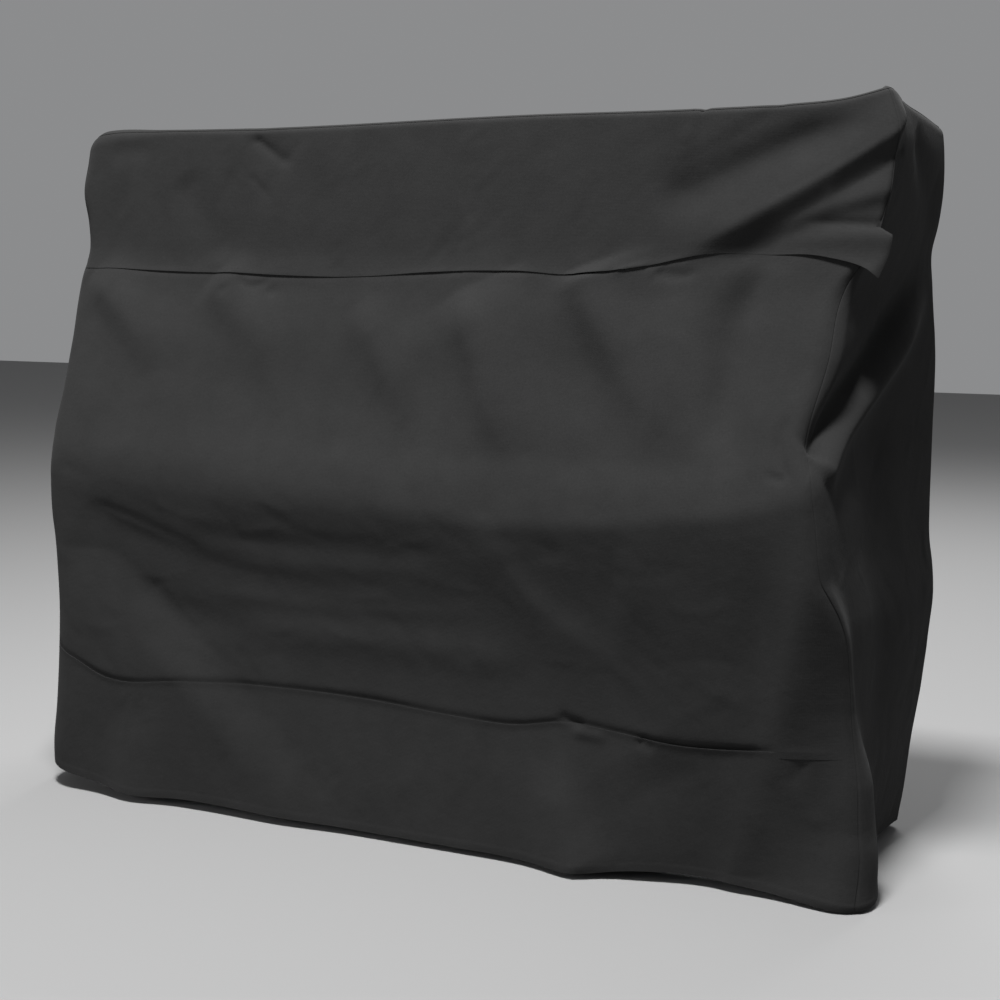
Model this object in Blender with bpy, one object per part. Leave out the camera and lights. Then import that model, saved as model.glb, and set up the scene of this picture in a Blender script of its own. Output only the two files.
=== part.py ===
"""Fitted dust cover for an upright piano: seven sewn panels of one dark cloth, hung over the case.

The cover is a hollow shell, open at the hem. Every panel lies on one skin, which is worked out
from a table of level sections, a few seam lines and a table of folds. A place on the skin has two
numbers: its girth, measured round the cover from the middle of the front (positive to the right),
and its height above the floor line of the hem. Sizes are in metres.
"""

import math
from collections import namedtuple

import bpy
import numpy as np

# ---------------------------------------------------------------- driving dimensions
WIDTH = 1.52            # nominal width of the cover
DEPTH = 0.53            # front of the keyboard to the back
HEIGHT = 1.25           # floor line to the top
SLOPE_DEPTH = 0.14      # how far the slope runs back over the keyboard
HOOD_LEAN = 0.015       # the hood leans back this much from its seam to the top
SHEET = 0.002           # thickness of the cloth
SEAM_GAP = 0.0003       # clear joint between two sewn panels
KEYBED_SOFT = 0.028     # how far the rounding over the keyboard's front edge reaches
SLOPE_TOP_SOFT = 0.012  # the same where the slope meets the hood
HOOD_SEAM = 0.985       # nominal height of the upper cross seam
TUCK = 0.030            # the front panel runs this far up behind the loose flap
TUCK_FROM, TUCK_TO = 0.62, 0.74   # girths between which the tuck grows to its full height
CHEEK_TOP = 0.46        # the undercut's left end runs down and inward from this level
CHEEK_LEAN = 1.2        # this far for each metre down
UNDERCUT_GROWS = 0.16   # girth over which the undercut grows from its left end
UNDERCUT_DIES = 0.10    # girth over which it dies out
UNDERCUT_STOP = 0.73    # girth where it ends, short of the right corner
GORE_SOFT = 0.020       # reach of the rounding where the right corner's facet begins
GORE_BACK = 0.080       # behind the facet's edge the cloth goes back to the side over this
FLARE_FROM = 0.64       # the hood's open lower corner stands out to the right from this girth on
FLARE_DART = 1.042      # under this level
FLARE_JOG = 0.016       # and within this height
FLARE_OUT = 0.020       # by this much
FLARE_MORE = 0.24       # and this much more for each metre further down
TOP_WAVE = 0.0015       # the top lies this nearly flat

HALF = WIDTH / 2
SIDE_END = HALF + DEPTH
BACK_END = SIDE_END + WIDTH
ROUND = 2 * (WIDTH + DEPTH)             # once round the cover
BACK_SEAM_REACH = 0.035                 # folds fade out this far from the back's corner seams
MOUNT_Y = 0.34                          # the origin: under the top, midway back
MOUNT_Z = HEIGHT - SHEET

# ---------------------------------------------------------------- sections of the cover
# One row for each level: where the four upright edges stand, and how round they are.
Section = namedtuple("Section", "z left right back_left back_right round_left round_right round_back")
SECTIONS = (
    Section(0.00, -0.806, 0.752, -0.780, 0.774, 0.090, 0.014, 0.030),
    Section(0.05, -0.802, 0.761, -0.780, 0.782, 0.075, 0.012, 0.030),
    Section(0.15, -0.784, 0.768, -0.781, 0.792, 0.060, 0.010, 0.028),
    Section(0.25, -0.771, 0.770, -0.782, 0.806, 0.050, 0.010, 0.026),
    Section(0.35, -0.765, 0.768, -0.782, 0.816, 0.045, 0.010, 0.025),
    Section(0.43, -0.766, 0.764, -0.783, 0.822, 0.040, 0.012, 0.025),
    Section(0.48, -0.770, 0.757, -0.783, 0.818, 0.040, 0.020, 0.024),
    Section(0.52, -0.774, 0.751, -0.783, 0.812, 0.038, 0.028, 0.024),
    Section(0.60, -0.774, 0.742, -0.784, 0.809, 0.034, 0.032, 0.022),
    Section(0.66, -0.770, 0.732, -0.784, 0.809, 0.030, 0.030, 0.022),
    Section(0.72, -0.774, 0.720, -0.784, 0.809, 0.030, 0.036, 0.022),
    Section(0.85, -0.782, 0.734, -0.785, 0.808, 0.028, 0.038, 0.022),
    Section(0.97, -0.790, 0.746, -0.786, 0.797, 0.026, 0.030, 0.022),
    Section(1.03, -0.777, 0.778, -0.786, 0.792, 0.024, 0.010, 0.020),
    Section(1.08, -0.783, 0.791, -0.787, 0.802, 0.026, 0.009, 0.020),
    Section(1.14, -0.797, 0.803, -0.787, 0.808, 0.028, 0.009, 0.022),
    Section(1.20, -0.790, 0.806, -0.787, 0.807, 0.034, 0.009, 0.024),
    Section(1.28, -0.780, 0.788, -0.788, 0.798, 0.036, 0.010, 0.026),
)

# Each upright edge: its girth, its rounding, and the level directions into it and out of it.
FRONTWARD, BACKWARD, RIGHTWARD, LEFTWARD = (0, -1), (0, 1), (1, 0), (-1, 0)
CORNERS = (
    (-SIDE_END, "round_back", LEFTWARD, FRONTWARD), (-HALF, "round_left", FRONTWARD, RIGHTWARD),
    (HALF, "round_right", RIGHTWARD, BACKWARD), (SIDE_END, "round_back", BACKWARD, LEFTWARD),
    (BACK_END, "round_back", LEFTWARD, FRONTWARD),
)

# ---------------------------------------------------------------- lines round the cover
Line = namedtuple("Line", "girth height")
KEYBED = (      # the rounded edge over the keyboard's front
    Line(-0.76, 0.640), Line(-0.57, 0.626), Line(-0.37, 0.606), Line(-0.20, 0.592),
    Line(0.00, 0.577), Line(0.20, 0.568), Line(0.38, 0.576), Line(0.50, 0.592),
    Line(0.62, 0.608), Line(0.70, 0.630), Line(0.76, 0.652),
)
UPPER_SEAM = (  # hood to front panel, rising to the loose flap's edge at the right
    Line(-0.76, 0.992), Line(-0.57, 0.987), Line(-0.39, 0.982), Line(-0.11, 0.979),
    Line(0.00, 0.986), Line(0.17, 0.989), Line(0.32, 0.984), Line(0.41, 1.000),
    Line(0.49, 1.018), Line(0.60, 1.018), Line(0.69, 1.013), Line(0.73, 1.000), Line(0.76, 0.982),
)
LOWER_SEAM = (  # front panel to bottom band
    Line(-0.76, 0.268), Line(-0.70, 0.246), Line(-0.63, 0.218), Line(-0.44, 0.225),
    Line(-0.05, 0.230), Line(0.10, 0.221), Line(0.22, 0.220), Line(0.31, 0.235),
    Line(0.40, 0.229), Line(0.50, 0.219), Line(0.68, 0.231), Line(0.76, 0.236),
)
HEM = (         # the hem's height above the floor line, all the way round
    Line(-1.29, 0.004), Line(-1.05, 0.010), Line(-0.80, 0.026), Line(-0.70, 0.016),
    Line(-0.62, 0.007), Line(-0.54, -0.003), Line(-0.40, -0.001), Line(-0.25, -0.003),
    Line(0.00, -0.007), Line(0.20, -0.008), Line(0.39, -0.008), Line(0.47, 0.000),
    Line(0.58, 0.000), Line(0.66, -0.006), Line(0.72, -0.011), Line(0.76, -0.013),
    Line(0.84, 0.000), Line(0.98, 0.006), Line(1.12, 0.006), Line(1.22, 0.002),
    Line(1.29, -0.004), Line(1.60, 0.008), Line(2.05, 0.001), Line(2.45, 0.009),
    Line(2.81, 0.004),
)
Recess = namedtuple("Recess", "z depth")
UNDERCUT = (    # the cloth under the keyboard's edge hangs in, and the band comes out again
    Recess(0.00, 0.006), Recess(0.10, 0.014), Recess(0.18, 0.022), Recess(0.24, 0.027),
    Recess(0.32, 0.0275), Recess(0.40, 0.0235), Recess(0.47, 0.0165), Recess(0.53, 0.008),
    Recess(0.58, 0.002), Recess(0.62, 0.0), Recess(0.70, 0.0),
)
Gore = namedtuple("Gore", "z start depth proud")
GORE = (        # below the keyboard the right corner is one flat facet, wider towards the hem
    Gore(0.00, 0.622, 0.050, 0.020), Gore(0.05, 0.630, 0.061, 0.020), Gore(0.15, 0.642, 0.067, 0.020),
    Gore(0.25, 0.665, 0.066, 0.020), Gore(0.35, 0.692, 0.058, 0.021), Gore(0.43, 0.712, 0.040, 0.022),
    Gore(0.46, 0.722, 0.028, 0.021), Gore(0.485, 0.730, 0.015, 0.012), Gore(0.508, 0.736, 0.004, 0.0),
    Gore(0.53, 0.740, 0.0, 0.0), Gore(0.60, 0.740, 0.0, 0.0),
)
Rim = namedtuple("Rim", "girth height soft")
RIM = (         # the top edge, and how far its rounding reaches
    Rim(-1.29, 1.248, 0.020), Rim(-1.00, 1.254, 0.040), Rim(-0.76, 1.258, 0.038),
    Rim(-0.69, 1.260, 0.026), Rim(-0.60, 1.256, 0.016), Rim(-0.40, 1.252, 0.014),
    Rim(0.17, 1.257, 0.012), Rim(0.46, 1.256, 0.012), Rim(0.58, 1.258, 0.012),
    Rim(0.68, 1.263, 0.012), Rim(0.78, 1.279, 0.012), Rim(0.90, 1.268, 0.014),
    Rim(1.10, 1.262, 0.020), Rim(1.29, 1.252, 0.020), Rim(1.60, 1.251, 0.020),
    Rim(2.05, 1.254, 0.018), Rim(2.45, 1.250, 0.020), Rim(2.81, 1.248, 0.020),
)

# ---------------------------------------------------------------- folds
# A fold runs from start through middle to end, each a girth and a height. Half widths and depths
# are given at both ends; a depth below zero is a trough, above zero a ridge. An edge of 2 is soft
# and of 1 is creased. Lean widens the side to the right of the run and narrows the other. It grows
# and dies out over these parts of its run, and keeps its full depth at an end where the part is 0.
Fold = namedtuple("Fold", "name start middle end wide_start wide_end deep_start deep_end edge lean "
                  "grows dies", defaults=(0.16, 0.22))
FOLDS = (
    # hood: tension folds out of the right top corner
    Fold("pull_ridge", (0.783, 1.228), (0.628, 1.120), (0.430, 1.012),
         0.026, 0.030, 0.012, 0.005, 1.8, 0.4, 0.0, 0.25),
    Fold("pull_trough", (0.797, 1.200), (0.645, 1.096), (0.442, 0.988),
         0.020, 0.026, -0.013, -0.008, 1.8, -0.3, 0.16, 0.35),
    Fold("pull_upper", (0.66, 1.242), (0.505, 1.186), (0.40, 1.092),
         0.022, 0.036, -0.010, -0.007, 1.9, -0.1),
    Fold("pull_patch", (0.76, 1.238), (0.706, 1.217), (0.64, 1.190),
         0.011, 0.015, -0.008, -0.002, 1.8, -0.3),
    Fold("hood_left", (-0.53, 1.170), (-0.48, 1.080), (-0.45, 1.000),
         0.035, 0.040, -0.005, -0.004, 2.0, 0.0),
    Fold("hood_nick", (-0.385, 1.240), (-0.34, 1.205), (-0.29, 1.178),
         0.014, 0.020, -0.005, -0.002, 1.4, 0.0),
    # slope over the keyboard
    Fold("slope_far_left", (-0.725, 0.980), (-0.608, 0.888), (-0.545, 0.790),
         0.036, 0.044, 0.014, 0.010, 1.9, -0.4, 0.2, 0.5),
    Fold("slope_left", (-0.455, 0.960), (-0.370, 0.885), (-0.290, 0.790),
         0.034, 0.040, 0.008, 0.006, 2.0, -0.3, 0.3, 0.6),
    Fold("slope_dip", (0.060, 0.960), (0.130, 0.830), (0.210, 0.690),
         0.075, 0.085, 0.018, 0.016, 2.0, 0.35, 0.35, 0.5),
    Fold("slope_mid", (-0.120, 0.930), (-0.050, 0.825), (0.020, 0.720),
         0.030, 0.036, 0.006, 0.007, 2.0, -0.3, 0.35, 0.5),
    Fold("slope_centre", (0.080, 0.960), (0.147, 0.815), (0.230, 0.670),
         0.030, 0.036, 0.009, 0.010, 1.8, -0.4, 0.3, 0.4),
    Fold("slope_right", (0.285, 0.995), (0.348, 0.872), (0.492, 0.705),
         0.036, 0.044, 0.015, 0.015, 1.8, -0.45, 0.15, 0.4),
    Fold("slope_far_right", (0.585, 0.995), (0.560, 0.840), (0.620, 0.650),
         0.020, 0.028, -0.014, -0.016, 2.0, 0.2, 0.3, 0.5),
    Fold("slope_crown", (0.47, 0.950), (0.49, 0.840), (0.53, 0.700),
         0.040, 0.055, 0.006, 0.007, 2.0, 0.0, 0.4, 0.4),
    # lower front
    Fold("crease", (-0.665, 0.552), (-0.36, 0.450), (0.14, 0.412),
         0.018, 0.036, -0.010, -0.003, 1.8, 0.3, 0.1, 0.6),
    Fold("swag", (-0.42, 0.508), (-0.16, 0.498), (0.12, 0.511),
         0.020, 0.024, -0.0030, -0.0030, 1.9, 0.0),
    Fold("swag_ridge", (-0.36, 0.452), (-0.10, 0.464), (0.13, 0.476),
         0.016, 0.018, 0.0008, 0.0006, 1.9, 0.0),
    Fold("lip", (-0.40, 0.398), (-0.12, 0.391), (0.15, 0.404),
         0.016, 0.018, 0.0020, 0.0010, 1.9, 0.0),
    Fold("wedge", (-0.54, 0.415), (-0.46, 0.350), (-0.20, 0.334),
         0.030, 0.034, -0.005, -0.003, 2.0, 0.0),
    Fold("low_line", (-0.20, 0.334), (0.03, 0.330), (0.26, 0.324),
         0.024, 0.026, -0.0025, -0.0010, 2.0, 0.0),
    Fold("cheek", (-0.74, 0.450), (-0.61, 0.360), (-0.46, 0.250),
         0.030, 0.040, 0.008, 0.006, 2.0, 0.0),
    Fold("centre_fold", (0.205, 0.575), (0.240, 0.445), (0.430, 0.325),
         0.032, 0.045, 0.010, 0.006, 1.9, 0.5, 0.3, 0.3),
    Fold("right_crown", (0.40, 0.480), (0.52, 0.450), (0.64, 0.430),
         0.090, 0.090, 0.006, 0.005, 2.0, 0.0),
    # band and hem
    Fold("hem_left", (-0.55, 0.160), (-0.54, 0.080), (-0.53, 0.000),
         0.050, 0.060, 0.002, 0.018, 2.0, 0.0, 0.4, 0.0),
    Fold("hem_mid", (-0.25, 0.120), (-0.24, 0.060), (-0.22, 0.000),
         0.070, 0.080, 0.002, 0.006, 2.0, 0.0, 0.4, 0.0),
    Fold("hem_out", (0.32, 0.190), (0.345, 0.090), (0.375, 0.000),
         0.040, 0.060, 0.006, 0.034, 1.8, 0.3, 0.4, 0.0),
    Fold("hem_in", (0.570, 0.210), (0.585, 0.100), (0.590, 0.000),
         0.055, 0.070, -0.003, -0.032, 2.0, 0.0, 0.4, 0.0),
    # right front corner: a gore that flares to the hem's tip
    Fold("gore_tip", (0.760, 0.110), (0.762, 0.060), (0.765, 0.000),
         0.036, 0.045, 0.004, 0.030, 1.8, 0.0, 0.4, 0.0),
    Fold("gore_side", (0.800, 0.260), (0.806, 0.120), (0.812, 0.000),
         0.045, 0.085, 0.020, 0.064, 2.0, 0.0, 0.3, 0.0),
    # right side: the long diagonal ridge and the valley in front of it
    Fold("side_ridge", (0.800, 0.652), (0.937, 0.780), (1.120, 1.000),
         0.030, 0.036, 0.018, 0.020, 1.7, 0.5, 0.05, 0.3),
    Fold("side_valley", (0.777, 0.676), (0.912, 0.803), (1.090, 1.024),
         0.026, 0.032, -0.024, -0.016, 1.7, -0.5, 0.05, 0.3),
    Fold("side_low", (0.990, 0.780), (0.985, 0.500), (0.965, 0.160),
         0.060, 0.080, -0.006, -0.012, 2.0, 0.0),
    Fold("side_high", (0.900, 1.220), (0.980, 1.150), (1.120, 1.090),
         0.030, 0.050, -0.008, -0.006, 1.9, 0.0),
    # left side and back, which hang plainly
    Fold("left_ridge", (-0.780, 0.664), (-0.920, 0.850), (-1.140, 0.990),
         0.026, 0.042, 0.010, 0.020, 1.8, 0.0),
    Fold("left_valley", (-0.790, 0.720), (-0.880, 0.890), (-1.040, 1.000),
         0.022, 0.036, -0.010, -0.014, 1.8, 0.0),
    Fold("left_low", (-1.020, 0.700), (-1.030, 0.350), (-1.050, 0.000),
         0.060, 0.085, -0.004, -0.022, 2.0, 0.0, 0.3, 0.0),
    Fold("left_hem", (-0.900, 0.300), (-0.910, 0.150), (-0.920, 0.000),
         0.050, 0.080, 0.002, 0.018, 2.0, 0.0, 0.4, 0.0),
    Fold("back_first", (1.560, 0.980), (1.580, 0.480), (1.610, 0.000),
         0.060, 0.100, 0.002, 0.016, 2.0, 0.0, 0.3, 0.0),
    Fold("back_second", (1.800, 1.050), (1.790, 0.520), (1.820, 0.000),
         0.050, 0.090, -0.003, -0.018, 2.0, 0.0, 0.3, 0.0),
    Fold("back_third", (2.060, 0.900), (2.080, 0.440), (2.060, 0.000),
         0.070, 0.110, 0.002, 0.018, 2.0, 0.0, 0.3, 0.0),
    Fold("back_fourth", (2.380, 1.020), (2.360, 0.500), (2.340, 0.000),
         0.060, 0.090, -0.003, -0.016, 2.0, 0.0, 0.3, 0.0),
    Fold("back_fifth", (2.600, 0.860), (2.620, 0.420), (2.600, 0.000),
         0.060, 0.090, 0.002, 0.014, 2.0, 0.0, 0.3, 0.0),
)
FLAP = (        # the hood's loose lower edge, which stands off the panel behind it
    Fold("flap_edge", (0.52, 1.000), (0.62, 0.998), (0.74, 0.990), 0.040, 0.048, 0.007, 0.020, 2.0, 0.0,
         0.3, 0.0),
    Fold("flap_tip", (0.72, 0.992), (0.76, 0.984), (0.80, 0.975), 0.030, 0.050, 0.012, 0.024, 2.0, 0.0,
         0.3, 0.0),
    Fold("flap_strip", (0.590, 1.032), (0.690, 1.038), (0.800, 1.034),
         0.016, 0.022, 0.003, 0.010, 1.8, 0.0,
         0.3, 0.0),
    Fold("flap_dart", (0.60, 1.068), (0.70, 1.070), (0.79, 1.064),
         0.012, 0.012, -0.002, -0.003, 1.6, 0.0,
         0.3, 0.0),
)

# ---------------------------------------------------------------- mesh fineness
FRONT_COLUMNS = 60
SIDE_COLUMNS = 22
LEFT_COLUMNS = 9
BACK_COLUMNS = 15
CORNER_COLUMN = 0.022   # the first and last column of a panel, beside its corner seams
TOP_COLUMNS = 12
TOP_ROWS = 4
TOP_BORDER = 0.050      # from the rim's inner edge to the flat grid of the top
BAND_ROWS = (0.0, 0.18, 0.45, 0.72, 1.0)
FRONT_ROWS = (0.0, 0.06, 0.12, 0.18, 0.24, 0.295, 0.345, 0.39, 0.43, 0.465, 0.50, 0.535,
              0.575, 0.62, 0.67, 0.725, 0.78, 0.84, 0.895, 0.95, 1.0)
HOOD_ROWS = (0.0, 0.08, 0.15, 0.22, 0.32, 0.43, 0.54, 0.66, 0.77, 0.87, 0.95, 1.0)
CURVE_STEPS = 20        # straight pieces in a fold's run
FOLD_SPAN = 0.030       # a fold lifts the skin along its mean direction over this span
RIM_SPAN = 0.030        # and the rim rolls inward across the mean direction over this one
SKIN_STEP = 0.0015

CLOTH = dict(color=(0.018, 0.0185, 0.019, 1.0), roughness=0.92, metallic=0.0)


def smooth(rows, key, column, at):
    """Reads a table's column at any place along its key, on a smooth curve through the rows."""
    keys = np.array([getattr(row, key) for row in rows])
    values = np.array([getattr(row, column) for row in rows])
    slopes = np.gradient(values, keys)
    at = np.clip(at, keys[0], keys[-1])
    i = np.clip(np.searchsorted(keys, at) - 1, 0, len(keys) - 2)
    span = keys[i + 1] - keys[i]
    t = (at - keys[i]) / span
    return (values[i] * (1 + 2 * t) * (1 - t) ** 2 + slopes[i] * span * t * (1 - t) ** 2
            + values[i + 1] * t ** 2 * (3 - 2 * t) + slopes[i + 1] * span * t ** 2 * (t - 1))


def eased(part):
    """Goes softly from 0 to 1 as the part does."""
    part = np.clip(part, 0.0, 1.0)
    return part * part * (3 - 2 * part)


def ramp(at, reach):
    """A straight line that starts at zero, with its corner rounded over the reach on both sides."""
    return np.where(at > reach, at, np.where(at < -reach, 0.0, (at + reach) ** 2 / (4 * reach)))


def facet(girth, z):
    """How far across the right corner's facet a place is, from 0 to 1 at its edge."""
    start = smooth(GORE, "z", "start", z)
    return ramp(girth - start, GORE_SOFT) / (HALF - start)


def front_y(girth, z):
    """How far back the front stands: upright below the keyboard's edge, sloping, then upright."""
    keybed = smooth(KEYBED, "girth", "height", girth)
    rise = SLOPE_DEPTH / (HOOD_SEAM - keybed)
    slope = rise * (ramp(z - keybed, KEYBED_SOFT) - ramp(z - HOOD_SEAM, SLOPE_TOP_SOFT))
    left = -HALF + CHEEK_LEAN * np.maximum(CHEEK_TOP - z, 0.0)
    inside = eased((girth - left) / UNDERCUT_GROWS) * eased((UNDERCUT_STOP - girth) / UNDERCUT_DIES)
    recess = smooth(UNDERCUT, "z", "depth", z) * inside + smooth(GORE, "z", "depth", z) * facet(girth, z)
    return slope + HOOD_LEAN * np.clip((z - HOOD_SEAM) / (HEIGHT - HOOD_SEAM), 0.0, 1.2) + recess


def corner_cut(distance, radius):
    """How an arc leaves a square corner: along the edge into it, and along the edge out of it."""
    near = np.clip(distance, -radius, radius)
    turn = (near / radius + 1.0) * math.pi / 4
    first = radius * (np.sin(turn) - 1.0) - np.minimum(near, 0.0)
    second = radius * (1.0 - np.cos(turn)) - np.maximum(near, 0.0)
    return first, second


def outline(girth, z):
    """The level section's point at this girth, as x and y, with its upright edges rounded."""
    girth = np.where(girth < -SIDE_END, girth + ROUND, np.where(girth > BACK_END, girth - ROUND, girth))
    level = {name: smooth(SECTIONS, "z", name, z) for name in Section._fields[1:]}
    front = front_y(np.clip(girth, -HALF, HALF), z)
    across = np.clip((girth + HALF) / WIDTH, 0.0, 1.0)
    right = np.clip((girth - HALF) / DEPTH, 0.0, 1.0)
    left = np.clip((-HALF - girth) / DEPTH, 0.0, 1.0)
    back = np.clip((girth - SIDE_END) / WIDTH, 0.0, 1.0)
    x = level["left"] + across * (level["right"] - level["left"])
    x = x + right * (level["back_right"] - level["right"]) + left * (level["back_left"] - level["left"])
    x = x + back * (level["back_left"] - level["back_right"])
    y = front + np.maximum(right, left) * (DEPTH - front)
    edge = facet(np.minimum(girth, HALF), z) * eased(1 - (girth - HALF) / GORE_BACK)
    x = x + smooth(GORE, "z", "proud", z) * edge
    for corner, radius, along, then in CORNERS:
        first, second = corner_cut(girth - corner, level[radius])
        x = x + first * along[0] + second * then[0]
        y = y + first * along[1] + second * then[1]
    return x, y


def base(girth, level):
    """The plain skin without folds. Above the rim, the level counts on inward over the top."""
    rim = smooth(RIM, "girth", "height", girth)
    soft = smooth(RIM, "girth", "soft", girth)
    turn = (np.clip((level - rim) / soft, -1.0, 1.0) + 1.0) * math.pi / 4
    z = np.where(level > rim - soft, rim - soft + soft * np.sin(turn), level)
    inset = np.where(level > rim - soft, soft * (1.0 - np.cos(turn)), 0.0)
    inset = inset + np.maximum(level - rim - soft, 0.0)
    x, y = outline(girth, z)
    x_next, y_next = outline(girth + RIM_SPAN, z)
    x_last, y_last = outline(girth - RIM_SPAN, z)
    out_x, out_y = y_next - y_last, x_last - x_next
    size = np.hypot(out_x, out_y)
    return np.stack([x - inset * out_x / size, y - inset * out_y / size, z], axis=-1)


def across_fold(fold, girth, z):
    """A fold's height at each place: its depth along the run times its shape across."""
    start, middle, end = (np.array(p) for p in (fold.start, fold.middle, fold.end))
    control = 2 * middle - (start + end) / 2
    nearest = np.full(girth.shape, 1e9)
    run = np.zeros(girth.shape)
    side = np.zeros(girth.shape)
    for step in range(CURVE_STEPS):
        ends = []
        for t in (step / CURVE_STEPS, (step + 1) / CURVE_STEPS):
            ends.append((1 - t) ** 2 * start + 2 * t * (1 - t) * control + t ** 2 * end)
        way = ends[1] - ends[0]
        length = math.hypot(*way)
        dx, dz = girth - ends[0][0], z - ends[0][1]
        part = np.clip((dx * way[0] + dz * way[1]) / length ** 2, 0.0, 1.0)
        gap = np.hypot(dx - part * way[0], dz - part * way[1])
        closer = gap < nearest
        nearest = np.where(closer, gap, nearest)
        run = np.where(closer, (step + part) / CURVE_STEPS, run)
        side = np.where(closer, np.sign(way[1] * dx - way[0] * dz), side)
    wide = fold.wide_start + run * (fold.wide_end - fold.wide_start)
    deep = fold.deep_start + run * (fold.deep_end - fold.deep_start)
    if fold.grows:
        deep = deep * eased(0.25 + 0.75 * run / fold.grows)
    if fold.dies:
        deep = deep * eased(0.15 + 0.85 * (1 - run) / fold.dies)
    return deep * np.exp(-(nearest / (wide * (1 + fold.lean * side))) ** fold.edge)


def folds_at(folds, girth, z):
    """All folds together. On the sides the place is measured from the front edge at its level."""
    front = front_y(np.clip(girth, -HALF, HALF), z)
    behind = np.clip(np.abs(girth) - HALF, 0.0, DEPTH) * (1 - front / DEPTH)
    on_side = (np.abs(girth) > HALF) & (girth < SIDE_END)
    place = np.where(on_side, np.sign(girth) * (HALF + behind), girth)
    to_seam = np.minimum(np.abs(np.abs(girth) - SIDE_END), np.abs(girth - BACK_END))
    deep = sum(across_fold(fold, place, z) for fold in folds)
    return deep * eased(to_seam / BACK_SEAM_REACH)


def flare(girth, level):
    """How far the hood's open lower corner stands out to the right."""
    below = FLARE_DART - level
    grown = eased((girth - FLARE_FROM) / (HALF - FLARE_FROM)) ** 2 * eased(0.5 + below / FLARE_JOG)
    return grown * (FLARE_OUT + FLARE_MORE * np.maximum(below, 0.0))


def directions(place, girth, level, step):
    """A skin's outward, sideways and upward directions, from places one step away on all sides."""
    along = place(girth + step, level) - place(girth - step, level)
    rise = place(girth, level + step) - place(girth, level - step)
    out = np.cross(along, rise)
    out = out / np.linalg.norm(out, axis=-1, keepdims=True)
    along = along / np.linalg.norm(along, axis=-1, keepdims=True)
    return out, along, np.cross(out, along)


def skin(girth, level, extra=()):
    """The cover's outer skin with its folds, and the skin's three directions there."""
    def place(g, v):
        plain = base(g, v)
        deep = folds_at(FOLDS + tuple(extra), g, plain[..., 2])
        return plain + directions(base, g, v, FOLD_SPAN)[0] * deep[..., None]
    return (place(girth, level), *directions(place, girth, level, SKIN_STEP))


def cloth_material():
    """One dark matt cloth for every panel."""
    material = bpy.data.materials.new("dark_cloth")
    material.use_nodes = True
    shader = material.node_tree.nodes["Principled BSDF"]
    shader.inputs["Base Color"].default_value = CLOTH["color"]
    shader.inputs["Roughness"].default_value = CLOTH["roughness"]
    shader.inputs["Metallic"].default_value = CLOTH["metallic"]
    return material


def halves(face, points):
    """A face as triangles. A four-sided one is split along its shorter diagonal."""
    if len(face) == 3:
        return [face]
    a, b, c, d = face
    if np.linalg.norm(points[a] - points[c]) <= np.linalg.norm(points[b] - points[d]):
        return [(a, b, c), (a, c, d)]
    return [(a, b, d), (b, c, d)]


def add_sheet(name, outer, out, faces, border, turned, material):
    """Makes a closed sheet: its outer skin, an inner skin one thickness in, and edges round it.

    Both skins are split into the same triangles, so that the two never cross. The border's edge
    faces are split along one diagonal up to the turned place and along the other after it, so
    that the edges of two sewn panels are split alike.
    """
    count = len(outer)
    seat = np.array((0.0, MOUNT_Y, MOUNT_Z))
    points = np.concatenate([outer, outer - out * SHEET]) - seat
    outside = [half for face in faces for half in halves(face, outer)]
    inside = [(a + count, c + count, b + count) for a, b, c in outside]
    pairs = list(zip(border, border[1:] + border[:1]))
    edges = []
    for a, b in pairs[:turned]:
        edges += [(b, a, a + count), (b, a + count, b + count)]
    for a, b in pairs[turned:]:
        edges += [(a, a + count, b + count), (a, b + count, b)]
    mesh = bpy.data.meshes.new(name)
    mesh.from_pydata([tuple(p) for p in points], [], outside + inside + edges)
    mesh.materials.append(material)
    mesh.shade_smooth()
    mesh.set_sharp_from_angle(angle=math.radians(50))
    mesh.update()
    node = bpy.data.objects.new(name, mesh)
    bpy.context.scene.collection.objects.link(node)
    return node


def wall(name, girths, low, high, rows, material, extra=(), shift=None):
    """Makes a wall panel between two girths, from its low line to its high line."""
    foot, head = low(girths), high(girths)
    levels = foot + np.array(rows)[:, None] * (head - foot)
    girth = np.broadcast_to(girths, levels.shape)
    outer, out, along, up = skin(girth, levels, extra)
    for edge, way in (((slice(None), 0), along), ((slice(None), -1), -along), ((0,), up), ((-1,), -up)):
        outer[edge] += way[edge] * SEAM_GAP / 2
    if shift:
        outer[..., 0] += shift(girth, levels)
    high_count, wide_count = levels.shape
    index = np.arange(high_count * wide_count).reshape(levels.shape)
    faces = [(int(index[j, i]), int(index[j, i + 1]), int(index[j + 1, i + 1]), int(index[j + 1, i]))
             for j in range(high_count - 1) for i in range(wide_count - 1)]
    border = ([int(k) for k in index[0, :-1]] + [int(k) for k in index[:-1, -1]]
              + [int(k) for k in index[-1, :0:-1]] + [int(k) for k in index[:0:-1, 0]])
    turned = wide_count + high_count - 2
    return add_sheet(name, outer.reshape(-1, 3), out.reshape(-1, 3), faces, border, turned, material)


def upper_seam(girth):
    return smooth(UPPER_SEAM, "girth", "height", girth)


def lower_seam(girth):
    return smooth(LOWER_SEAM, "girth", "height", girth)


def hem(girth):
    return smooth(HEM, "girth", "height", girth)


def rim_line(girth):
    return smooth(RIM, "girth", "height", girth)


def front_head(girth):
    """The front panel's upper edge: the upper seam, and higher where it runs up behind the flap."""
    return upper_seam(girth) + TUCK * eased((girth - TUCK_FROM) / (TUCK_TO - TUCK_FROM))


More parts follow.
